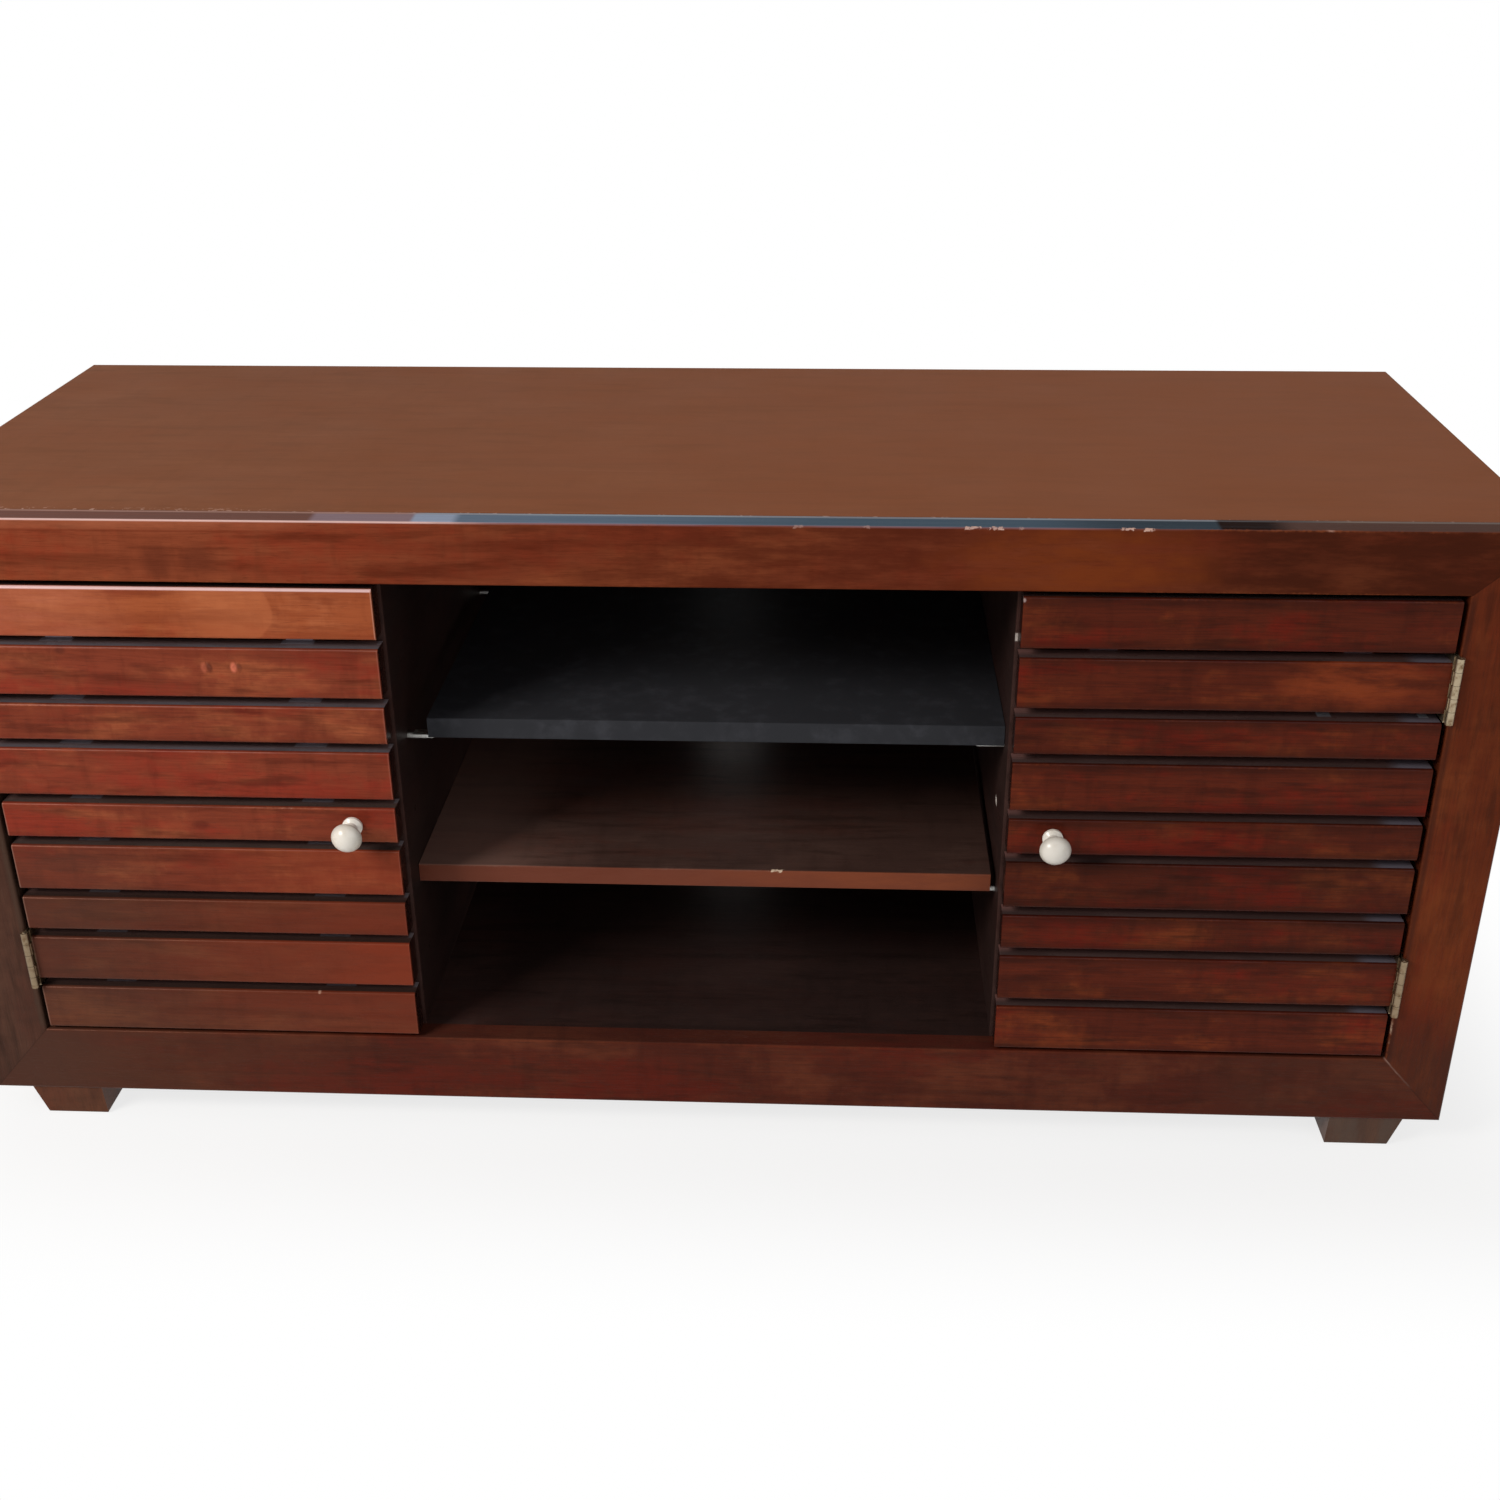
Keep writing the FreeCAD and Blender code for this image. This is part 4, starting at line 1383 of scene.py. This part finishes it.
@dataclass(frozen=True)
class ScrewHead:
    """A round screw head with a cross recess, as a shallow dome on the surface it holds."""

    radius: float = 3.2 * MM
    rise: float = 0.35 * MM
    rings: int = 4
    sides: int = 20
    crossed: bool = True

    def mesh(self, name: str, places: np.ndarray, facing: Place) -> bpy.types.Object:
        """Build a group of heads that all face the same way.

        Each head is a surface of two parameters. The first runs from the rim to the middle
        and sets the radius R (1 - t) and the height H (1 - (1 - t) squared), and the second
        is the angle round the axis.

        Args:
            name: the new piece's name.
            places: the heads' middles on the surface, one row each.
            facing: the direction that the heads face.

        Returns:
            The new piece, with its own UV map in units of the head's radius.
        """
        radius = 1.0 - np.linspace(0.0, 1.0, self.rings + 1)[:-1]
        angle = np.linspace(0.0, 2 * math.pi, self.sides, endpoint=False)
        height = np.broadcast_to((1.0 - radius ** 2)[:, None, None], (self.rings, self.sides, 1))
        flat = np.stack([radius[:, None] * np.cos(angle), radius[:, None] * np.sin(angle)], axis=-1)
        local = np.concatenate([flat * self.radius, height * self.rise], axis=-1).reshape(-1, 3)
        local = np.vstack([local, [[0.0, 0.0, self.rise]]])
        turn = np.array(Vector(facing).to_track_quat("Z", "Y").to_matrix())
        points = (local @ turn.T)[None] + np.asarray(places, float)[:, None]
        ring, step = np.meshgrid(np.arange(self.rings - 1), np.arange(self.sides), indexing="ij")
        after = (step + 1) % self.sides
        wall = np.stack([
            ring * self.sides + step,
            ring * self.sides + after,
            (ring + 1) * self.sides + after,
            (ring + 1) * self.sides + step,
        ], axis=-1).reshape(-1, 4)
        last = (self.rings - 1) * self.sides
        steps = np.arange(self.sides)
        middle = np.full(self.sides, len(local) - 1)
        fan = np.stack([last + steps, last + (steps + 1) % self.sides, middle], axis=-1)
        starts = np.arange(len(points))[:, None, None] * len(local)
        faces = (wall[None] + starts).reshape(-1, 4).tolist()
        faces += (fan[None] + starts).reshape(-1, 3).tolist()
        mesh = bpy.data.meshes.new(name)
        mesh.from_pydata(points.reshape(-1, 3).tolist(), [], faces)
        disc = np.vstack([flat.reshape(-1, 2), [[0.0, 0.0]]])
        corners = np.empty(len(mesh.loops), np.int32)
        mesh.loops.foreach_get("vertex_index", corners)
        layer = mesh.uv_layers.new(name="head")
        layer.data.foreach_set("uv", disc[corners % len(local)].astype(np.float32).ravel())
        mesh.polygons.foreach_set("use_smooth", np.ones(len(mesh.polygons), bool))
        piece = bpy.data.objects.new(name, mesh)
        bpy.context.scene.collection.objects.link(piece)
        return piece

    def material(self, metal: Metal) -> bpy.types.Material:
        """Write the head's metal, with its cross recess from the UV map.

        Args:
            metal: the metal of the head.

        Returns:
            The material.
        """
        shader = Shader(metal.name + "_screw")
        disc = shader.node("ShaderNodeUVMap", {"uv_map": "head"}).outputs[0]
        parts = shader.node("ShaderNodeSeparateXYZ", inputs={0: disc})
        across, along = (abs(shader.value(parts, axis)) for axis in (X, Y))
        arms = [
            one.smooth(0.16, 0.11) * other.smooth(0.62, 0.5)
            for one, other in ((across, along), (along, across))
        ]
        recess = arms[0].larger(arms[1]) * float(self.crossed)
        patches = shader.noise(300.0, 1.7, detail=4.0)
        colour = shader.blend(linear(metal.bright), linear(metal.dull), patches.smooth(0.4, 0.7))
        # The cross recess is painted near black: painted shade, as the head is a plain dome
        colour = shader.blend(colour, linear((26, 24, 22)), recess * 0.9)
        return shader.finish({
            "Base Color": colour,
            "Metallic": 1.0,
            "Roughness": patches * 0.2 + recess * 0.4 + metal.rough,
            "Normal": shader.bump(patches * 0.2 - recess, 0.0002),
        })


@dataclass
class Fasteners:
    """The heads of the screws in the doors, hinges, catches and back, and the pins' ends."""

    wood_head: ScrewHead = ScrewHead()
    leaf_head: ScrewHead = ScrewHead(radius=2.7 * MM, rise=0.2 * MM)
    nail_head: ScrewHead = ScrewHead(radius=2.4 * MM, rise=0.35 * MM)
    catch_head: ScrewHead = ScrewHead(radius=2.0 * MM, rise=0.3 * MM)
    pin_tip: ScrewHead = ScrewHead(radius=1.7 * MM, rise=0.5 * MM, crossed=False)
    leaf: float = 1.5 * MM
    leaf_screw_depth: float = 8.65 * MM
    leaf_screw_spread: float = 13.0 * MM
    pin_radius: float = 1.25 * MM
    flange: float = 2.5 * MM
    flange_screw: float = 3.0 * MM
    catch_depth: float = 17.0 * MM
    back_inset: float = 4.5 * MM
    # The back panel's screws: the lowest and highest above the rail and below the top, the
    # number in a column, and the half length and number of the row in the rail
    column_ends: tuple[float, float] = (0.04, 0.03)
    column_screws: int = 5
    row_half: float = 0.53
    row_screws: int = 8

    def add(
        self,
        name: str,
        places: list[Place],
        facing: Place,
        body: str,
        metal: Metal,
        slot: str,
        head: ScrewHead,
    ) -> None:
        """Make one group of heads, and let it move with a body.

        Args:
            name: the new piece's name.
            places: the heads' middles.
            facing: the direction that they face.
            body: the body that carries them.
            metal: their metal.
            slot: a name for their material, which is not used.
            head: their shape.
        """
        piece = head.mesh(name, np.array(places), facing)
        piece.data.materials.append(head.material(metal))
        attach(piece, body)
        LOG.info("made %s: %d heads", name, len(places))

    def add_batten_screws(self, door: SlatDoor) -> None:
        """Put one head where each batten crosses each slat.

        Args:
            door: the door.
        """
        places = []
        for place in ("inner", "outer"):
            low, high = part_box(door.node("batten_" + place))
            for number in range(1, door.slats + 1):
                up = middle(door.node(f"slat_{number}"))[Z]
                places.append(((low[X] + high[X]) / 2, high[Y], up))
        name = "batten_screws_" + door.side.word
        self.add(name, places, (0, 1, 0), door.body, ZINC, "zinc_steel", self.wood_head)

    def add_leaf_screws(self, door: SlatDoor) -> None:
        """Put two heads on each hinge leaf, on the faces that meet when the door is shut.

        Args:
            door: the door.
        """
        sign = door.side.value
        slat_low, slat_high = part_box(door.node(f"slat_{door.hinged_slats[0]}"))
        stile_low, stile_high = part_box("frame_stile_" + door.side.word)
        slat_end = slat_high[X] if sign > 0 else slat_low[X]
        stile_edge = stile_low[X] if sign > 0 else stile_high[X]
        y = stile_low[Y] + self.leaf_screw_depth
        steps = (-self.leaf_screw_spread, self.leaf_screw_spread)
        heights = [
            middle(door.node(f"slat_{number}"))[Z] + step
            for number in door.hinged_slats for step in steps
        ]
        for name, face, facing, body in (
            ("leaf_screws_door_", slat_end + sign * self.leaf, sign, door.body),
            ("leaf_screws_frame_", stile_edge - sign * self.leaf, -sign, "carcass"),
        ):
            name += door.side.word
            places = [(face, y, z) for z in heights]
            self.add(name, places, (facing, 0, 0), body, BRASS, "brass", self.leaf_head)

    def add_pin_tips(self, door: SlatDoor) -> None:
        """Close the ends of the hinge pins with a small dome above and below each barrel.

        Args:
            door: the door that the hinges carry.
        """
        leaves_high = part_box("hinge_frame_leaves_" + door.side.word)[1]
        pins_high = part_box("hinge_pins")[1]
        heights = [middle(door.node(f"slat_{number}"))[Z] for number in door.hinged_slats]
        half = leaves_high[Z] - heights[0]
        x = door.side.value * (pins_high[X] - self.pin_radius)
        y = middle("hinge_pins")[Y]
        for end, facing in (("upper", 1), ("lower", -1)):
            places = [(x, y, height + facing * half) for height in heights]
            name = f"pin_tips_{end}_{door.side.word}"
            self.add(name, places, (0, 0, facing), "carcass", BRASS, "brass", self.pin_tip)

    def add_catch_screws(self, door: SlatDoor) -> None:
        """Put a head above and below the housing of a catch, on its flange.

        Args:
            door: the door that the catch holds.
        """
        low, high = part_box("catch_" + door.side.word)
        sign = door.side.value
        face = low[X] + self.flange if sign > 0 else high[X] - self.flange
        y = high[Y] - self.catch_depth / 2
        places = [(face, y, z) for z in (low[Z] + self.flange_screw, high[Z] - self.flange_screw)]
        name = "catch_screws_" + door.side.word
        self.add(name, places, (sign, 0, 0), "carcass", ZINC, "zinc_steel", self.catch_head)

    def add_back_screws(self) -> None:
        """Fix the back panel along the side panels, the partitions and the rear rail."""
        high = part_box("back_panel")[1]
        rail_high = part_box("rear_rail")[1]
        columns = np.array([high[X] - self.back_inset, middle("partition_right")[X]])
        over_rail, under_top = self.column_ends
        heights = np.linspace(rail_high[Z] + over_rail, high[Z] - under_top, self.column_screws)
        across, up = np.meshgrid(np.concatenate([-columns, columns]), heights)
        along = np.linspace(-self.row_half, self.row_half, self.row_screws)
        xs = np.concatenate([across.ravel(), along])
        zs = np.concatenate([up.ravel(), np.full(along.shape, middle("rear_rail")[Z])])
        places = np.stack([xs, np.full(xs.shape, high[Y]), zs], axis=-1).tolist()
        self.add("back_screws", places, (0, 1, 0), "carcass", ZINC, "zinc_steel", self.nail_head)

    def make(self, doors: list[SlatDoor]) -> None:
        """Make every group.

        Args:
            doors: the two doors.
        """
        for door in doors:
            self.add_batten_screws(door)
            self.add_leaf_screws(door)
            self.add_pin_tips(door)
            self.add_catch_screws(door)
        self.add_back_screws()


@dataclass
class Studio:
    """The floor, the lights and the camera, in the photograph's place."""

    lens: float = 42.3988
    sensor: float = 36.0
    camera_at: Place = (0.09913, -1.38685, 0.945646)
    yaw: float = 0.050744
    pitch: float = -0.460896
    roll: float = -0.007461
    floor_half: float = 12.0
    # How white the floor shows beside the cabinet, where it keeps the shadow
    plain: float = 0.78
    ambient: float = 0.36

    def place_camera(self) -> None:
        """Place the camera where the photograph was taken.

        The view direction turns from +Y by the yaw and tips by the pitch, and the roll then
        turns the picture about it.
        """
        yaw, pitch, roll = self.yaw, self.pitch, self.roll
        level = Vector((math.cos(yaw), math.sin(yaw), 0.0))
        forward = Vector((-math.sin(yaw), math.cos(yaw), 0.0))
        ahead = forward * math.cos(pitch) + Vector((0.0, 0.0, math.sin(pitch)))
        above = level.cross(ahead)
        right = level * math.cos(roll) + above * math.sin(roll)
        up = above * math.cos(roll) - level * math.sin(roll)
        data = bpy.data.cameras.new("camera")
        data.lens = self.lens
        data.sensor_width = self.sensor
        data.clip_start = 0.01
        data.clip_end = 100.0
        camera = bpy.data.objects.new("camera", data)
        turn = Matrix((right, up, -ahead)).transposed().to_4x4()
        camera.matrix_world = Matrix.Translation(self.camera_at) @ turn
        bpy.context.scene.collection.objects.link(camera)
        bpy.context.scene.camera = camera

    def seen(self, tree: Tree) -> Value:
        """Return 1 for the rays that show the background: camera, glossy and transmission.

        Args:
            tree: the node tree that is being written.

        Returns:
            The mask.
        """
        rays = tree.node("ShaderNodeLightPath")
        camera, glossy, through = (
            tree.value(rays, f"Is {kind} Ray") for kind in ("Camera", "Glossy", "Transmission")
        )
        return camera.larger(glossy).larger(through)

    def lay_floor(self) -> None:
        """Lay a pale floor that keeps the cabinet's shadow and turns plain white further off."""
        half = self.floor_half
        mesh = bpy.data.meshes.new("floor")
        corners = [(-half, -half, 0.0), (half, -half, 0.0), (half, half, 0.0), (-half, half, 0.0)]
        mesh.from_pydata(corners, [], [(0, 1, 2, 3)])
        floor = bpy.data.objects.new("floor", mesh)
        bpy.context.scene.collection.objects.link(floor)
        shader = Shader("pale_floor")
        outside = [(abs(shader.axes[axis]) - CAD_BOX[1][axis]).larger(0.0) for axis in (X, Y)]
        away = (outside[X] * outside[X] + outside[Y] * outside[Y]) ** 0.5
        matte = shader.node("ShaderNodeBsdfDiffuse", inputs={"Color": (0.9, 0.9, 0.9, 1.0)})
        white = shader.node("ShaderNodeEmission", inputs={"Color": (1.0, 1.0, 1.0, 1.0)})
        mask = self.seen(shader) * (away.smooth(0.0, 0.20) * (1 - self.plain) + self.plain)
        inputs = {0: mask, 1: matte.outputs[0], 2: white.outputs[0]}
        mixed = shader.node("ShaderNodeMixShader", inputs=inputs)
        shader.feed(shader.output.inputs[0], mixed.outputs[0])
        mesh.materials.append(shader.material)

    def fill_world(self) -> None:
        """Light the scene evenly from all round, and show white where nothing stands."""
        world = bpy.data.worlds.new("studio")
        world.use_nodes = True
        tree = Tree(world.node_tree)
        output = tree.node("ShaderNodeOutputWorld")
        soft, white = (
            tree.node("ShaderNodeBackground", inputs={0: (1.0, 1.0, 1.0, 1.0), 1: strength})
            for strength in (self.ambient, 1.0)
        )
        inputs = {0: self.seen(tree), 1: soft.outputs[0], 2: white.outputs[0]}
        tree.feed(output.inputs[0], tree.node("ShaderNodeMixShader", inputs=inputs).outputs[0])
        bpy.context.scene.world = world

    def hang_light(
        self,
        name: str,
        at: Place,
        towards: Place,
        size: tuple[float, float],
        watts: float,
        colour: Colour = (255, 255, 255),
    ) -> None:
        """Hang a soft rectangular light.

        Args:
            name: the light's name.
            at: where it hangs.
            towards: the point that it faces.
            size: its width and height.
            watts: its power.
            colour: its colour, as the eye reads it.
        """
        data = bpy.data.lights.new(name, "AREA")
        data.shape = "RECTANGLE"
        data.size, data.size_y = size
        data.energy = watts
        data.color = linear(colour)[:3]
        light = bpy.data.objects.new(name, data)
        aim = (Vector(towards) - Vector(at)).to_track_quat("-Z", "Y").to_matrix().to_4x4()
        light.matrix_world = Matrix.Translation(at) @ aim
        bpy.context.scene.collection.objects.link(light)

    def make(self) -> None:
        """Set up the whole studio."""
        self.lay_floor()
        self.fill_world()
        warm = (255, 250, 244)
        self.hang_light("key", (-1.7, -1.5, 1.7), (-0.35, 0.0, 0.3), (0.9, 0.7), 44.0, warm)
        self.hang_light("fill", (2.2, -2.4, 1.6), (0.3, 0.0, 0.2), (1.8, 1.8), 9.0)
        self.place_camera()
        bpy.context.scene.view_settings.view_transform = "Standard"
        LOG.info("set up the studio")


def main() -> None:
    """Build the whole scene in order."""
    logging.basicConfig(level=logging.INFO, format="%(name)s: %(message)s")
    doors = [SlatDoor(side) for side in Side]
    Carcass().dress()
    FaceFrame().dress()
    for door in doors:
        door.dress()
    Fasteners().make(doors)
    Studio().make()


if __name__ == "__main__":
    main()
